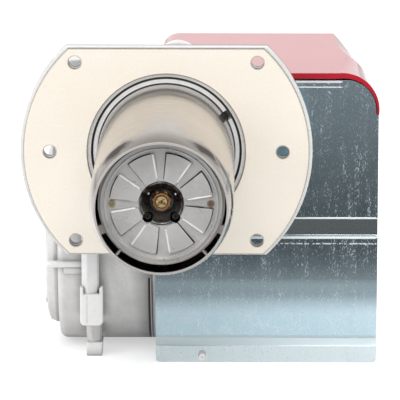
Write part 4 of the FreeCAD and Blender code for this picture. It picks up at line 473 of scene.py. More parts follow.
def machined_aluminium():
    """Aluminium faced on a machine: fine lines, bright edges, and painted shade in the bore's gap
    and on the rear rim.
    """
    material, tree, shader, where = start_finish("faced_aluminium", 0.05, 0.24)
    clouds = clouded(tree, where, tone(254, 254, 253), tone(244, 244, 244), 11.0, 240.0, 0.4)
    lines = use_group(tree, tool_lines, where, Stretch=(0.02, 1, 1), Line_Scale=700.0)
    edge = edges_of(tree, where, 90.0, 4.0, 0.0011)
    bright = mix_colours(tree, edge["Mask"], clouds["Tone"], tone(244, 244, 242))
    # Painted shade: a dark ring for the shadow in the gap round the bore.
    bore_gap_shade = ring_mask(tree, where, 0.0766, 0.0009)
    bore_shaded = mix_colours(tree, bore_gap_shade, bright, tone(30, 30, 31))
    # Painted shade: the rear half of the side faces goes grey.
    rear_half = spread(tree, parts_of(tree, where)["Y"], 0.0095, 0.0105)
    rear_side_shade = math_node(tree, "MULTIPLY", side_faces(tree, 0.9), rear_half)
    final = mix_colours(tree, rear_side_shade, bore_shaded, tone(112, 112, 112))
    join(tree, final, shader.inputs["Base Color"])
    set_sheen(tree, shader, lines["Mask"], 0.24, 0.42)
    raise_relief(tree, shader, lines["Height"], 0.00006, 0.5, edge["Rounded Normal"])
    return material


dress(machined_aluminium(), "mounting_flange")


def clamp_casting():
    """The ring's face is bright, with painted shade for the dark gap on either side of it."""
    material, tree, shader, where = start_finish("clamp_casting", 0.1, 0.34)
    clouds = clouded(tree, where, tone(252, 252, 252), tone(226, 227, 228), 60.0, 500.0, 0.6)
    edge = edges_of(tree, where, 40.0, 5.0, 0.0006)
    # Painted shade in the gaps outside and inside the ring.
    outer_gap_shade = ring_mask(tree, where, 0.0759, 0.0009)
    inner_gap_shade = ring_mask(tree, where, 0.0701, 0.0008)
    gaps = math_node(tree, "MAXIMUM", outer_gap_shade, inner_gap_shade)
    final = mix_colours(tree, gaps, clouds["Tone"], tone(28, 28, 29))
    join(tree, final, shader.inputs["Base Color"])
    set_sheen(tree, shader, clouds["Mask"], 0.42, 0.3)
    fine = noise_node(tree, where, 800.0, 3)
    raise_relief(tree, shader, fine, 0.00005, 0.5, edge["Rounded Normal"])
    return material


dress(clamp_casting(), "tube_clamp_ring")


def plated_steel(name, light, dark, rough_low, rough_high):
    """Zinc plated or bright steel with a faint cloudy bloom and rubbed edges."""
    material, tree, shader, where = start_finish(name, 1.0, rough_low)
    clouds = clouded(tree, where, light, dark, 45.0, 700.0, 0.5)
    edge = edges_of(tree, where, 300.0, 5.0, 0.0004)
    bright = mix_colours(tree, edge["Mask"], clouds["Tone"], tone(240, 240, 238))
    join(tree, bright, shader.inputs["Base Color"])
    set_sheen(tree, shader, clouds["Mask"], rough_high, rough_low)
    relief = noise_node(tree, where, 1500.0, 3)
    raise_relief(tree, shader, relief, 0.00003, 0.5, edge["Rounded Normal"])
    return material


screw_steel = plated_steel("zinc_plate", tone(206, 207, 208), tone(160, 162, 166), 0.22, 0.4)
dress(screw_steel, "flange_clamp_screw")


# The blast tube is drawn stainless steel, polished round and round, with the nose spun in to
# a lipped mouth. The flame has browned the nose and scorched it in two places near its top.
def scorched_places(tree, where, place):
    """Two ragged ovals on the nose, alike on the left and the right."""
    mirrored = tree.nodes.new("ShaderNodeCombineXYZ")
    join(tree, math_node(tree, "ABSOLUTE", place["X"]), mirrored.inputs[0])
    join(tree, place["Y"], mirrored.inputs[1])
    join(tree, place["Z"], mirrored.inputs[2])
    turned = tree.nodes.new("ShaderNodeVectorRotate")
    turned.rotation_type = "Y_AXIS"
    turned.inputs["Angle"].default_value = math.radians(51)
    join(tree, mirrored.outputs[0], turned.inputs["Vector"])
    from_middle = vector_node(tree, "SUBTRACT", turned.outputs[0], (0.071, -0.250, 0))
    scaled = vector_node(tree, "MULTIPLY", from_middle, (20, 85, 52))
    far_off = vector_node(tree, "LENGTH", scaled)
    frayed = math_node(tree, "ADD", far_off, noise_node(tree, where, 90.0, 4))
    return spread(tree, frayed, 0.95, 1.6, 0.9, 0.0)


def drawn_tube_steel():
    material, tree, shader, where = start_finish("drawn_tube_steel", 1.0, 0.2)
    clouds = clouded(tree, where, tone(205, 198, 190), tone(172, 165, 158), 9.0, 160.0, 0.3)
    belt = use_group(tree, tool_lines, where, Stretch=(0.015, 1, 0.015), Line_Scale=900.0)
    place = parts_of(tree, where)
    drift = math_node(tree, "MULTIPLY", noise_node(tree, where, 24.0, 3), 0.05)
    reach = math_node(tree, "ADD", place["Y"], drift)
    near_mouth = spread(tree, reach, -0.15, -0.235, 0.0, 0.75)
    browned = mix_colours(tree, near_mouth, clouds["Tone"], tone(150, 141, 134))
    scorched = scorched_places(tree, where, place)
    burnt = mix_colours(tree, scorched, browned, tone(20, 15, 10))
    lip = spread(tree, place["Y"], -0.2638, -0.2646)
    final = mix_colours(tree, lip, burnt, tone(206, 202, 198))
    join(tree, final, shader.inputs["Base Color"])
    matt = math_node(tree, "MAXIMUM", math_node(tree, "MULTIPLY", lip, 0.6), scorched)
    join(tree, math_node(tree, "SUBTRACT", 1.0, matt), shader.inputs["Metallic"])
    dull = spread(tree, belt["Mask"], 0.0, 1.0, 0.1, 0.2)
    dull = math_node(tree, "SUBTRACT", dull, math_node(tree, "MULTIPLY", near_mouth, 0.1))
    sooty = math_node(tree, "MULTIPLY", scorched, 0.7)
    join(tree, math_node(tree, "ADD", dull, sooty), shader.inputs["Roughness"])
    raise_relief(tree, shader, belt["Height"], 0.00002, 0.4)
    return material


dress(drawn_tube_steel(), "blast_tube")


# The combustion head: a pressed disc with a ring of lifted vanes, its stepped carrier ring,
# and the strap that ties both to the nozzle holder, all bare stainless sheet. A turned cup
# stands in the disc's middle, and the two spark wires end beside it.
def pressed_sheet_steel():
    material, tree, shader, where = start_finish("pressed_sheet_steel", 0.35, 0.3)
    clouds = clouded(tree, where, tone(216, 215, 213), tone(190, 189, 187), 22.0, 160.0, 0.15)
    edge = edges_of(tree, where, 60.0, 8.0, 0.0007)
    # Painted highlight along the disc's and the vanes' edges.
    lit = math_node(tree, "MULTIPLY", edge["Mask"], 0.8)
    bright = mix_colours(tree, lit, clouds["Tone"], tone(252, 250, 247))
    join(tree, bright, shader.inputs["Base Color"])
    grain = noise_node(tree, where, 60.0, 2)
    set_sheen(tree, shader, grain, 0.26, 0.34, 0.3, 0.7)
    raise_relief(tree, shader, grain, 0.00001, 0.3)
    return material


dress(pressed_sheet_steel(), "diffuser_disc", "head_ring", "disc_bracket")


def rubbed_bright(name, light, dark, cloud_scale, grain_scale, grain_share):
    """Pale sheet, near white: along a bend or a crease it is a painted highlight."""
    material, tree, shader, where = start_finish(name, 0.1, 0.3)
    clouds = clouded(tree, where, light, dark, cloud_scale, grain_scale, grain_share)
    join(tree, clouds["Tone"], shader.inputs["Base Color"])
    set_sheen(tree, shader, clouds["Mask"], 0.4, 0.24)
    raise_relief(tree, shader, clouds["Mask"], 0.00003, 0.4)
    return material


# Near-white sheet, a painted highlight on the vanes' bends; the cup's dots and a screw head use it
# too.
bend_steel = rubbed_bright("bright_bend", tone(255, 255, 254), tone(224, 223, 221), 120.0,
                           900.0, 0.3)


def skinned(name, rings, material, rounding=0.0):
    """A closed piece skinned over a row of outlines and capped at both ends."""
    shape = bmesh.new()
    rows = [[shape.verts.new(point) for point in ring] for ring in rings]
    count = len(rings[0])
    for near, far in zip(rows, rows[1:]):
        for index in range(count):
            after = (index + 1) % count
            shape.faces.new((near[index], near[after], far[after], far[index]))
    shape.faces.new(rows[0][::-1])
    shape.faces.new(rows[-1])
    bmesh.ops.recalc_face_normals(shape, faces=shape.faces)
    mesh = bpy.data.meshes.new(name)
    shape.to_mesh(mesh)
    shape.free()
    mesh.materials.append(material)
    piece = bpy.data.objects.new(name, mesh)
    bpy.context.scene.collection.objects.link(piece)
    if rounding:
        soften = piece.modifiers.new("rounding", "BEVEL")
        soften.width = rounding
        soften.segments = 3
        soften.limit_method = "ANGLE"
    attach(piece, "base")


def oval_ring(middle, first_arm, second_arm):
    """Eight points of an oval, from its middle and its two half widths."""
    turns = [math.tau * step / 8 for step in range(8)]
    return [middle + first_arm * math.cos(turn) + second_arm * math.sin(turn) for turn in turns]


def front_of(name, across, level):
    """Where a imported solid's front lies behind a place, looking in from the boiler."""
    start = Vector((across, cad_box[0][1] - 0.01, level))
    found, spot, way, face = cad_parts[name].ray_cast(start, Vector((0, 1, 0)))
    return spot.y


def vane_bend(index):
    """The rounded bend where one vane leaves the disc, thin at both ends; a painted highlight
    strip.
    """
    angle = math.radians(99.5 + 45 * index)
    along = Vector((math.cos(angle), 0, math.sin(angle)))
    aside = Vector((-math.sin(angle), 0, math.cos(angle)))
    outward = Vector((0, 1, 0))
    rings = []
    for reach, size in ((0.0250, 0.2), (0.0262, 1), (0.0370, 1), (0.0480, 1), (0.0494, 0.2)):
        middle = along * reach
        middle.y = front_of("diffuser_disc", middle.x, middle.z)
        rings.append(oval_ring(middle, aside * 0.0009 * size, outward * 0.0007 * size))
    skinned("vane_bend_%d" % index, rings, bend_steel)


for index in range(8):
    vane_bend(index)


def turned_stack(name, across, level, profile, corners, material):
    """A small turned or cornered head facing the boiler, given as radius and depth pairs."""
    rings = []
    for radius, front in profile:
        ring = []
        for step in range(24):
            angle = math.tau * step / 24
            reach = radius
            if corners:
                part = math.tau / corners
                off = (angle % part) - part / 2
                reach = radius * math.cos(part / 2) / math.cos(off)
            ring.append((across + reach * math.cos(angle), front,
                         level + reach * math.sin(angle)))
        rings.append(ring)
    skinned(name, rings, material)


def heat_stained_steel(name, light, dark, stain):
    """Bare steel browned and blackened by heat in patches, darker towards the top, still bright
    enough to mirror.
    """
    material, tree, shader, where = start_finish(name, 0.85, 0.3)
    clouds = clouded(tree, where, light, dark, 60.0, 700.0, 0.5)
    patches = noise_node(tree, where, 150.0, 4)
    # Darker towards the top, mixed in with the heat stain.
    darker_above = spread(tree, parts_of(tree, where)["Z"], -0.012, 0.002, 0.0, 0.5)
    burnt = math_node(tree, "ADD", spread(tree, patches, 0.42, 0.62, 0.0, 0.5), darker_above, clamp=True)
    join(tree, mix_colours(tree, burnt, clouds["Tone"], stain), shader.inputs["Base Color"])
    set_sheen(tree, shader, patches, 0.24, 0.4, 0.3, 0.7)
    raise_relief(tree, shader, noise_node(tree, where, 1100.0, 3), 0.00005, 0.5)
    return material


cup_steel = heat_stained_steel("cup_steel", tone(150, 154, 156), tone(70, 74, 76),
                               tone(34, 20, 12))
dress(cup_steel, "hub_cup")
# Two near-white domes on the cup's upper part: painted light for the bright dots where its holes
# show light.
light_dot_rise = 0.0083
for side in (-0.0127, 0.0138):
    front = front_of("hub_cup", side, light_dot_rise)
    light_dot = ((0.0012, front + 0.0004), (0.0011, front - 0.0002), (0.0006, front - 0.0003))
    turned_stack("cup_light_dot_%d" % round(side * 10000), side, light_dot_rise, light_dot, 0,
                 bend_steel)
wire_steel = heat_stained_steel("spark_wire", tone(60, 58, 56), tone(34, 32, 31),
                                tone(24, 20, 18))
dress(wire_steel, "electrode_left", "electrode_right")


# Brass turnings: the nozzle's holder, the oil valve's stem and the pump's pressure screw.
# The spray nozzle and the disc's two screws are brass too, but the heat has marked them.
def turned_brass(name, light, dark):
    material, tree, shader, where = start_finish(name, 0.7, 0.2)
    clouds = clouded(tree, where, light, dark, 70.0, 900.0, 0.4)
    edge = edges_of(tree, where, 400.0, 5.0, 0.0004)
    bright = mix_colours(tree, edge["Mask"], clouds["Tone"], tone(250, 214, 160))
    join(tree, bright, shader.inputs["Base Color"])
    cuts = use_group(tree, tool_lines, where, Stretch=(0.05, 1, 0.05), Line_Scale=1400.0)
    set_sheen(tree, shader, cuts["Mask"], 0.16, 0.3)
    raise_relief(tree, shader, cuts["Height"], 0.00004, 0.5, edge["Rounded Normal"])
    return material


brass = turned_brass("turned_brass", tone(226, 174, 104), tone(188, 128, 72))
dress(brass, "nozzle_holder", "valve_stem", "pressure_screw")


def tarnished_brass():
    """The disc's two screws: one greenish, one browned, both dark round the rim."""
    material, tree, shader, where = start_finish("tarnished_brass", 0.4, 0.35)
    clouds = clouded(tree, where, tone(196, 186, 138), tone(150, 140, 96), 220.0, 900.0, 0.5)
    on_right = spread(tree, parts_of(tree, where)["X"], -0.01, 0.01)
    toned = mix_colours(tree, on_right, clouds["Tone"], tone(150, 124, 106))
    rim = math_node(tree, "MULTIPLY", edges_of(tree, where, 90.0, 12.0, 0.0012)["Whole Edge"], 0.8)
    join(tree, mix_colours(tree, rim, toned, tone(64, 50, 36)), shader.inputs["Base Color"])
    set_sheen(tree, shader, clouds["Mask"], 0.44, 0.28)
    raise_relief(tree, shader, clouds["Mask"], 0.00004, 0.4)
    return material


dress(tarnished_brass(), "disc_screws")


def nozzle_brass():
    """Warm brass: a bright hexagon, a dark joint round the insert, a paler, marked tip and painted
    shade in the orifice.
    """
    material, tree, shader, where = start_finish("nozzle_brass", 0.6, 0.22)
    clouds = clouded(tree, where, tone(236, 190, 140), tone(200, 142, 92), 90.0, 900.0, 0.4)
    specks = noise_node(tree, where, 420.0, 3)
    marked = mix_colours(tree, spread(tree, specks, 0.44, 0.6), tone(240, 212, 156),
                         tone(118, 100, 84))
    faced = mix_colours(tree, ring_mask(tree, where, 0.0, 0.0056), clouds["Tone"], marked)
    joint = ring_mask(tree, where, 0.006, 0.0005)
    # Painted shade in the orifice.
    orifice_shade = ring_mask(tree, where, 0.0, 0.001)
    dark = math_node(tree, "MAXIMUM", joint, orifice_shade)
    join(tree, mix_colours(tree, dark, faced, tone(70, 46, 32)), shader.inputs["Base Color"])
    set_sheen(tree, shader, specks, 0.18, 0.3, 0.3, 0.7)
    raise_relief(tree, shader, specks, 0.00003, 0.4)
    return material


dress(nozzle_brass(), "nozzle")
copper = turned_brass("drawn_copper", tone(222, 140, 104), tone(176, 98, 70))
dress(copper, "oil_pipe")


# Nozzle line and ignition: a steel oil line, two glazed porcelain sleeves with their spark
# wires, the plate that ties them, and two black silicone leads.
def glazed_porcelain():
    material, tree, shader, where = start_finish("glazed_porcelain", 0.0, 0.16, 0.6)
    clouds = clouded(tree, where, tone(244, 240, 230), tone(228, 221, 206), 50.0, 600.0, 0.3)
    soot = noise_node(tree, where, 130.0, 4)
    smudge = spread(tree, soot, 0.6, 0.75, 0.0, 0.4)
    stained = mix_colours(tree, smudge, clouds["Tone"], tone(150, 138, 120))
    ragged = math_node(tree, "MULTIPLY", soot, 0.03)
    near_flame = math_node(tree, "ADD", parts_of(tree, where)["Y"], ragged)
    blackened = spread(tree, near_flame, -0.18, -0.205)
    final = mix_colours(tree, blackened, stained, tone(30, 27, 25))
    join(tree, final, shader.inputs["Base Color"])
    set_sheen(tree, shader, soot, 0.12, 0.34, 0.3, 0.8)
    raise_relief(tree, shader, noise_node(tree, where, 350.0, 2), 0.00005, 0.4)
    return material


def moulded(name, light, dark, rough_low, rough_high, grain=900.0, depth=0.00008):
    """Moulded plastic or rubber with a fine pebbled grain and paler rubbed corners."""
    material, tree, shader, where = start_finish(name, 0.0, rough_low)
    clouds = clouded(tree, where, light, dark, 30.0, grain, 0.4)
    edge = edges_of(tree, where, 200.0, 2.5, 0.0006)
    rubbed = mix_colours(tree, 0.35, clouds["Tone"], tone(205, 205, 205))
    final = mix_colours(tree, edge["Mask"], clouds["Tone"], rubbed)
    join(tree, final, shader.inputs["Base Color"])
    set_sheen(tree, shader, clouds["Mask"], rough_high, rough_low)
    pebbles = cell_node(tree, where, grain)["Distance"]
    raise_relief(tree, shader, pebbles, depth, 0.4, edge["Rounded Normal"])
    return material


dress(glazed_porcelain(), "insulator_left", "insulator_right")
dress(screw_steel, "gun_pipe", "gun_bush", "electrode_clamp")
black_rubber = moulded("black_silicone", tone(42, 41, 41), tone(24, 24, 25), 0.5, 0.66)
dress(black_rubber, "ignition_leads", "sensor_bush")


# The fan housing is one aluminium casting: scroll, air box, face plate, lug, strap and foot.
# The strap's rib, clip, stem and shoe and the bead beside them stand out from it. The motor's
# plate and the dished side cover are cast in the same metal.
def cast_skin_group():
    """The skin of a casting: fine pits, soft waves from the mould and a grey bloom."""
    group, entry, leave = new_group(
        "cast_skin",
        [("Light Tone", COLOUR, white), ("Dark Tone", COLOUR, (0, 0, 0, 1)),
         ("Pit Scale", NUMBER, 700), ("Wave Scale", NUMBER, 30)],
        [("Tone", COLOUR), ("Roughness", NUMBER), ("Height", NUMBER)])
    waves = noise_node(group, entry["Where"], entry["Wave Scale"], 4, 0.6, 0.4)
    pits = noise_node(group, entry["Where"], entry["Pit Scale"], 3, 0.65)
    bloom = math_node(group, "MULTIPLY", spread(group, waves, 0.32, 0.68), 0.65)
    speck = math_node(group, "MULTIPLY", spread(group, pits, 0.35, 0.65), 0.35)
    mask = math_node(group, "ADD", bloom, speck, clamp=True)
    join(group, mix_colours(group, mask, entry["Dark Tone"], entry["Light Tone"]), leave["Tone"])
    join(group, spread(group, mask, 0.0, 1.0, 0.56, 0.38), leave["Roughness"])
    low = math_node(group, "MULTIPLY", waves, 0.6)
    join(group, math_node(group, "ADD", low, pits), leave["Height"])
    return group


cast_skin = cast_skin_group()


def cast_metal(name, light, dark, metallic, depth, falloff_shade=0.0):
    """A cast skin with brighter rubbed edges, painted shade in the inner corners, and painted
    shade low down and by the joint.
    """
    material, tree, shader, where = start_finish(name, metallic, 0.45)
    corners = tree.nodes.new("ShaderNodeAmbientOcclusion")
    corners.samples = 8
    corners.inputs["Distance"].default_value = 0.012
    skin = use_group(tree, cast_skin, where, Light_Tone=light, Dark_Tone=dark,
                     Pit_Scale=650.0, Wave_Scale=28.0)
    edge = edges_of(tree, where, 110.0, 2.5, 0.0018)
    bright = mix_colours(tree, edge["Mask"], skin["Tone"], tone(250, 250, 249))
    # Painted shade: ambient occlusion darkens the inner corners.
    corner_shade = spread(tree, corners.outputs["AO"], 0.45, 0.95, 0.55, 0.0)
    corner_shaded = mix_colours(tree, corner_shade, bright, tone(92, 90, 88))
    place = parts_of(tree, where)
    # Painted shade: darker low down and toward the scroll's rounded edge by the joint.
    shade_below = spread(tree, place["Z"], -0.13, -0.235, 0.0, 0.3 * falloff_shade)
    shade_by_joint = spread(tree, place["X"], -0.042, -0.019, 0.0, 0.7 * falloff_shade)
    left_of_joint = spread(tree, place["X"], -0.0160, -0.0155, 1.0, 0.0)
    shade_by_joint = math_node(tree, "MULTIPLY", shade_by_joint, left_of_joint)
    painted_falloff = math_node(tree, "MAXIMUM", shade_below, shade_by_joint)
    join(tree, mix_colours(tree, painted_falloff, corner_shaded, tone(104, 100, 96)), shader.inputs["Base Color"])
    join(tree, skin["Roughness"], shader.inputs["Roughness"])
    raise_relief(tree, shader, skin["Height"], depth, 0.5, edge["Rounded Normal"])
    return material


housing_cast = cast_metal("cast_aluminium", tone(245, 244, 243), tone(216, 216, 215), 0.25,
                          0.0002, 1.0)
# A lighter copy of the casting for the raised rib, clip, shoe, bead, mould line and joint strip:
# painted light.
lit_rib_cast = cast_metal("lit_casting", tone(254, 254, 254), tone(238, 238, 237), 0.1, 0.0001)
dress(housing_cast, "fan_housing", "motor_plate", "inlet_cover", "motor_end_bell",
      "pump_bracket")
dress(screw_steel, "inlet_cover_screws", "damper_knob", "damper_pivot")


def ridge_ring(level, across, depths):
    """One cut across a rib whose face rises from both sides to an off-centre crest."""
    left, right, crest = across
    rear, shoulder, front = depths
    return [(left, rear, level), (left, shoulder, level), (crest, front, level),
            (right, shoulder, level), (right, rear, level)]


def clip_ring(place, inset):
    """The clip's outline, with two ears that hold the rib above it."""
    left, right = -0.0916 + inset, -0.0676 - inset
    low, high = -0.1962 + inset, -0.1540 - inset
    seat = -0.1615 - inset
    ear = corner = 0.003
    return [(left, place, high), (left + ear, place, high), (left + ear, place, seat),
            (right - ear, place, seat), (right - ear, place, high), (right, place, high),
            (right, place, low + corner), (right - corner, place, low),
            (left + corner, place, low), (left, place, low + corner)]


def shoe_ring(place, inset):
    """The foot's outline at its lower end, a little wider than the stem."""
    left, right = -0.0866 + inset, -0.0702 - inset
    low, high = -0.2388 + inset, -0.2238 - inset
    return [(left, place, low), (right, place, low), (right + 0.0008, place, high),
            (left, place, high)]


def bead_ring(along, size):
    """The bead's round face and the soft slope under it."""
    points = ((0.0610, -0.1290), (0.0565, -0.1296), (0.0545, -0.1325), (0.0556, -0.1356),
              (0.0610, -0.1366))
    depth, height = 0.0590, -0.1328
    return [(along, depth + (front - depth) * size, height + (level - height) * size)
            for front, level in points]


strap_across = (-0.0900, -0.0734, -0.0842)
skinned("strap_rib", [
    ridge_ring(-0.1665, strap_across, (0.0505, 0.0496, 0.0468)),
    ridge_ring(-0.0850, strap_across, (0.0505, 0.0496, 0.0462)),
], lit_rib_cast, 0.0004)
stem_depths = (0.0885, 0.0872, 0.0838)
skinned("stem_rib", [
    ridge_ring(-0.2250, (-0.0858, -0.0722, -0.0800), stem_depths),
    ridge_ring(-0.1950, (-0.0880, -0.0712, -0.0825), stem_depths),
], housing_cast, 0.0004)
mould_across = (-0.0850, -0.0838, -0.0846)
mould_depths = (0.0462, 0.0457, 0.0452)
skinned("mould_line", [
    ridge_ring(-0.1930, mould_across, mould_depths),
    ridge_ring(-0.1640, mould_across, mould_depths),
], lit_rib_cast)
skinned("strap_clip", [
    clip_ring(0.0545, 0.0), clip_ring(0.0468, 0.0), clip_ring(0.0456, 0.0010),
], lit_rib_cast, 0.0007)
skinned("foot_shoe", [
    shoe_ring(0.1065, 0.0), shoe_ring(0.0842, 0.0), shoe_ring(0.0832, 0.0012),
], lit_rib_cast, 0.0009)
skinned("side_bead", [
    bead_ring(-0.1286, 0.3), bead_ring(-0.1262, 0.9), bead_ring(-0.1225, 1.0),
    bead_ring(-0.0870, 1.0),
], lit_rib_cast, 0.0012)


def scroll_front(level, out):
    """Y and Z of a place on the scroll's round front, moved out along its radius."""
    middle_y, middle_z, radius = 0.170, -0.127, 0.110
    turn = math.asin((middle_z - level) / radius)
    reach = radius + out
    return middle_y - reach * math.cos(turn), middle_z - reach * math.sin(turn)


def scroll_strip(name, left, right, out, material):
    """A narrow strip laid round the scroll's front, thinning out at both ends."""
    top, drop, steps = -0.148, 0.083, 12
    middle = (left + right) / 2
    rings = []
    for step in range(steps + 1):
        level = top - drop * step / steps
        rise = out if 0 < step < steps else 0.0002
        low = scroll_front(level, 0.0)
        high = scroll_front(level, rise)
        crown = scroll_front(level, rise * 1.3)
        rings.append([(left, *low), (left, *high), (middle, *crown), (right, *high),
                      (right, *low)])
    skinned(name, rings, material)


# Painted shade and highlight: a black strip for the shadow in the groove at the joint with the
# motor plate, and a pale strip beside it for the highlight on the plate's corner.
scroll_strip("joint_shadow_strip", -0.0206, -0.0186, 0.0010, black_rubber)
scroll_strip("joint_highlight_strip", -0.0182, -0.0172, 0.0014, lit_rib_cast)


# Sheet steel with a hot-dip zinc coat: the front sheet with its hem, step and swept foot, the
# tray behind it, the component shelf, the air shutter and the fan wheel.
def spangle_group():
    """Fine zinc crystals in drawn-out rows, each a little rougher than the bright ground."""
    group, entry, leave = new_group(
        "zinc_spangle",
        [("Light Tone", COLOUR, white), ("Dark Tone", COLOUR, (0, 0, 0, 1)),
         ("Crystal Scale", NUMBER, 700), ("Row Scale", NUMBER, 150)],
        [("Tone", COLOUR), ("Roughness", NUMBER), ("Height", NUMBER)])
    drawn = vector_node(group, "MULTIPLY", entry["Where"], (1, 1, 0.06))
    dashes = vector_node(group, "MULTIPLY", entry["Where"], (1, 0.3, 0.4))
    rows = noise_node(group, drawn, entry["Row Scale"], 3, 0.7)
    rows = spread(group, rows, 0.45, 0.7)
    parts = group.nodes.new("ShaderNodeSeparateColor")
    join(group, cell_node(group, dashes, entry["Crystal Scale"])["Color"], parts.inputs[0])
    chosen = math_node(group, "ADD", parts.outputs[0], math_node(group, "MULTIPLY", rows, 0.16))
    chosen = spread(group, chosen, 0.9, 1.1, 0.0, 0.6)
    drift = spread(group, noise_node(group, entry["Where"], 40.0, 4, 0.6), 0.35, 0.7, 0.0, 0.08)
    ground = math_node(group, "ADD", drift, math_node(group, "MULTIPLY", rows, 0.07))
    mask = math_node(group, "ADD", chosen, ground, clamp=True)
    join(group, mix_colours(group, mask, entry["Dark Tone"], entry["Light Tone"]), leave["Tone"])
    join(group, spread(group, mask, 0.0, 1.0, 0.14, 0.7), leave["Roughness"])
    join(group, mask, leave["Height"])
    return group


zinc_spangle = spangle_group()


def galvanised(name, light, dark, crystal_scale, row_scale):
    """Spangled zinc with paler rubbed edges."""
    material, tree, shader, where = start_finish(name, 1.0, 0.36)
    zinc = use_group(tree, zinc_spangle, where, Light_Tone=light, Dark_Tone=dark,
                     Crystal_Scale=crystal_scale, Row_Scale=row_scale)
    edge = edges_of(tree, where, 140.0, 4.0, 0.0007)
    bright = mix_colours(tree, edge["Mask"], zinc["Tone"], tone(232, 236, 238))
    join(tree, bright, shader.inputs["Base Color"])
    join(tree, zinc["Roughness"], shader.inputs["Roughness"])
    raise_relief(tree, shader, zinc["Height"], 0.00008, 0.6, edge["Rounded Normal"])
    return material


def swept_normal(tree, level, flat_normal, swept_band):
    """Light on the swept part of the front sheet runs smoothly down its round."""
    sine = spread(tree, level, -0.147, -0.214, 0.0, -0.447)
    rest = math_node(tree, "SUBTRACT", 1.0, math_node(tree, "MULTIPLY", sine, sine))
    cosine = math_node(tree, "SQRT", rest)
    swept = tree.nodes.new("ShaderNodeCombineXYZ")
    join(tree, math_node(tree, "MULTIPLY", cosine, -1.0), swept.inputs[1])
    join(tree, sine, swept.inputs[2])
    forward = spread(tree, facing(tree)["Y"], -0.8, -0.85)
    eased = tree.nodes.new("ShaderNodeMix")
    eased.data_type = "VECTOR"
    join(tree, math_node(tree, "MULTIPLY", forward, swept_band), eased.inputs["Factor"])
    join(tree, flat_normal, eased.inputs[4])
    join(tree, swept.outputs[0], eased.inputs[5])
    return eased.outputs[1]


def front_sheet_zinc():
    """The front sheet's zinc: rolled smooth in its step, duller at the bend over the foot."""
    material, tree, shader, where = start_finish("front_sheet_zinc", 1.0, 0.3)
    zinc = use_group(tree, zinc_spangle, where, Light_Tone=tone(232, 240, 244),
                     Dark_Tone=tone(182, 204, 214), Crystal_Scale=1500.0, Row_Scale=190.0)
    level = parts_of(tree, where)["Z"]

    def level_band(middle, half, soft):
        """A band of the sheet between two levels."""
        off = math_node(tree, "ABSOLUTE", math_node(tree, "SUBTRACT", level, middle))
        return spread(tree, off, half - soft, half + soft, 1.0, 0.0)

    step = level_band(-0.0905, 0.0096, 0.0005)
    bend = level_band(-0.2155, 0.0052, 0.001)
    foot = spread(tree, level, -0.2195, -0.222)
    dots = spread(tree, noise_node(tree, where, 420.0, 2), 0.45, 0.5)
    scribed = math_node(tree, "MULTIPLY", level_band(-0.1079, 0.0007, 0.0003), dots)
    edge = edges_of(tree, where, 140.0, 4.0, 0.0007)
    colour = mix_colours(tree, step, zinc["Tone"], tone(226, 240, 242))
    colour = mix_colours(tree, bend, colour, tone(206, 216, 219))
    colour = mix_colours(tree, foot, colour, tone(206, 216, 219))
    colour = mix_colours(tree, scribed, colour, tone(240, 244, 246))
    colour = mix_colours(tree, edge["Mask"], colour, tone(232, 236, 238))
    join(tree, colour, shader.inputs["Base Color"])
    off_step = math_node(tree, "SUBTRACT", 1.0, step)
    rough = math_node(tree, "MULTIPLY", zinc["Roughness"], off_step)
    rough = math_node(tree, "MAXIMUM", rough, 0.14)
    dulled = math_node(tree, "MAXIMUM", math_node(tree, "MULTIPLY", bend, 0.6),
                       math_node(tree, "MULTIPLY", scribed, 0.8))
    join(tree, math_node(tree, "MAXIMUM", rough, dulled), shader.inputs["Roughness"])
    normal = swept_normal(tree, level, edge["Rounded Normal"],
                          level_band(-0.1805, 0.0332, 0.0002))
    raise_relief(tree, shader, zinc["Height"], 0.00004, 0.5, normal)
    return material


dress(front_sheet_zinc(), "front_shield")
tray_zinc = galvanised("spangled_zinc", tone(238, 245, 248), tone(190, 204, 211), 1250.0, 190.0)
dress(tray_zinc, "base_tray", "component_shelf")
wheel_zinc = galvanised("fine_zinc", tone(216, 220, 222), tone(176, 182, 186), 1100.0, 260.0)
dress(wheel_zinc, "air_damper", "fan_wheel")
dress(screw_steel, "sheet_screws")

# Near-white zinc: a painted highlight along the pressed creases and the hem; the foot's washer
# uses it too.
creased_zinc = rubbed_bright("creased_zinc", tone(252, 254, 255), tone(226, 234, 238), 200.0,
                             1200.0, 0.5)


def pressed_line(name, left, right, level, front, half_height, depth):
    """A thin rounded ridge along the sheet, thinning out at both ends."""
    outward = Vector((0, depth, 0))
    upward = Vector((0, 0, half_height))
    ends = ((left, 0.2), (left + 0.002, 1), (right - 0.002, 1), (right, 0.2))
    rings = [oval_ring(Vector((along, front, level)), outward * size, upward * size)
             for along, size in ends]
    skinned(name, rings, creased_zinc)


sheet_low, sheet_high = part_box("front_shield")
sheet_left = sheet_low[0] + 0.0006
sheet_right = sheet_high[0] - 0.0006
crease_left = sheet_left + 0.09
hem_right = 0.1817
pressed_line("upper_crease", crease_left, sheet_right, -0.0803, 0.0498, 0.0008, 0.0008)
pressed_line("lower_crease", crease_left, sheet_right, -0.1013, 0.0498, 0.0014, 0.0009)
pressed_line("hem_fold", crease_left, hem_right, 0.0643, 0.0486, 0.0013, 0.0008)
pressed_line("hem_edge", crease_left, hem_right, 0.0586, 0.0486, 0.0006, 0.0006)


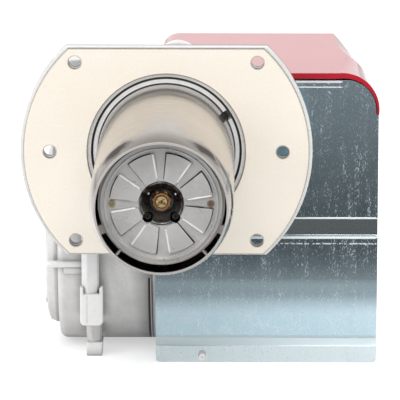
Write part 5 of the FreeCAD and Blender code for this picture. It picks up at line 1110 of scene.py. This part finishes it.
screw_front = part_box("sheet_screws")[0][1]
screw_across = sheet_left + 0.0484
screw_level = -0.2326
washer = ((0.0054, screw_front + 0.0026), (0.0054, screw_front + 0.0016),
          (0.0049, screw_front + 0.0012))
head = ((0.0044, screw_front + 0.0016), (0.0044, screw_front + 0.0003),
        (0.0036, screw_front - 0.0003), (0.0016, screw_front - 0.0003),
        (0.0010, screw_front + 0.0004))
turned_stack("strip_washer", screw_across, screw_level, washer, 0, creased_zinc)
turned_stack("strip_head", screw_across, screw_level, head, 6, bend_steel)


# The motor: a painted shell round the stator, ground shaft, bearings and rotor. The moulded
# cases beside it are the run capacitor, the control box, the coils and the transformer.
def satin_paint(name, light, dark):
    material, tree, shader, where = start_finish(name, 0.0, 0.36, 0.25)
    clouds = clouded(tree, where, light, dark, 20.0, 420.0, 0.4)
    edge = edges_of(tree, where, 120.0, 5.0, 0.0007)
    bare = mix_colours(tree, edge["Mask"], clouds["Tone"], tone(150, 150, 150))
    join(tree, bare, shader.inputs["Base Color"])
    set_sheen(tree, shader, clouds["Mask"], 0.44, 0.3)
    peel = noise_node(tree, where, 420.0, 2)
    raise_relief(tree, shader, peel, 0.00008, 0.4, edge["Rounded Normal"])
    return material


shell_paint = satin_paint("satin_black", tone(48, 48, 50), tone(30, 30, 32))
dress(shell_paint, "motor_shell")
ground_steel = plated_steel("ground_steel", tone(196, 196, 196), tone(150, 150, 152), 0.2, 0.36)
dress(ground_steel, "motor_shaft", "rotor_core", "stator", "motor_bearings", "pump_shaft")
grey_case = moulded("grey_plastic", tone(150, 152, 154), tone(124, 126, 129), 0.42, 0.58)
dress(grey_case, "run_capacitor", "control_box", "cable_gland")
black_case = moulded("black_plastic", tone(46, 46, 48), tone(28, 28, 30), 0.4, 0.55)
dress(black_case, "pump_coupling", "valve_coil", "control_base", "ignition_transformer",
      "flame_sensor")


# The oil pump is a small grey iron casting with a turned cover, four screws and two plated
# hose unions below it.
pump_iron = cast_metal("cast_iron", tone(150, 152, 154), tone(112, 114, 117), 0.6, 0.00022)
dress(pump_iron, "pump_body", "pump_cover")
dress(screw_steel, "pump_cover_screws", "oil_unions")


# The cover is pressed sheet with a deep red gloss coat. Its top mirrors the pale room, its
# turned-in front lip stays bright red, and the two screws behind hold it.
def red_gloss():
    material, tree, shader, where = start_finish("red_gloss_paint", 0.0, 0.2, 1.0)
    shader.inputs["Coat Roughness"].default_value = 0.05
    shader.inputs["Specular IOR Level"].default_value = 0.15
    clouds = clouded(tree, where, tone(190, 18, 44), tone(172, 12, 34), 6.0, 300.0, 0.3)
    edge = edges_of(tree, where, 80.0, 3.0, 0.0012)
    # Painted highlight: the edges go a paler pink.
    paler = mix_colours(tree, 0.25, clouds["Tone"], tone(255, 150, 150))
    final = mix_colours(tree, edge["Mask"], clouds["Tone"], paler)
    join(tree, final, shader.inputs["Base Color"])
    set_sheen(tree, shader, clouds["Mask"], 0.28, 0.18)
    peel = noise_node(tree, where, 260.0, 2)
    raise_relief(tree, shader, peel, 0.00005, 0.3, edge["Rounded Normal"])
    return material


dress(red_gloss(), "cover")
dress(screw_steel, "cover_screws")
button_red = moulded("red_lens", tone(206, 26, 30), tone(176, 16, 20), 0.12, 0.22, 500.0, 0.00002)
dress(button_red, "reset_button")
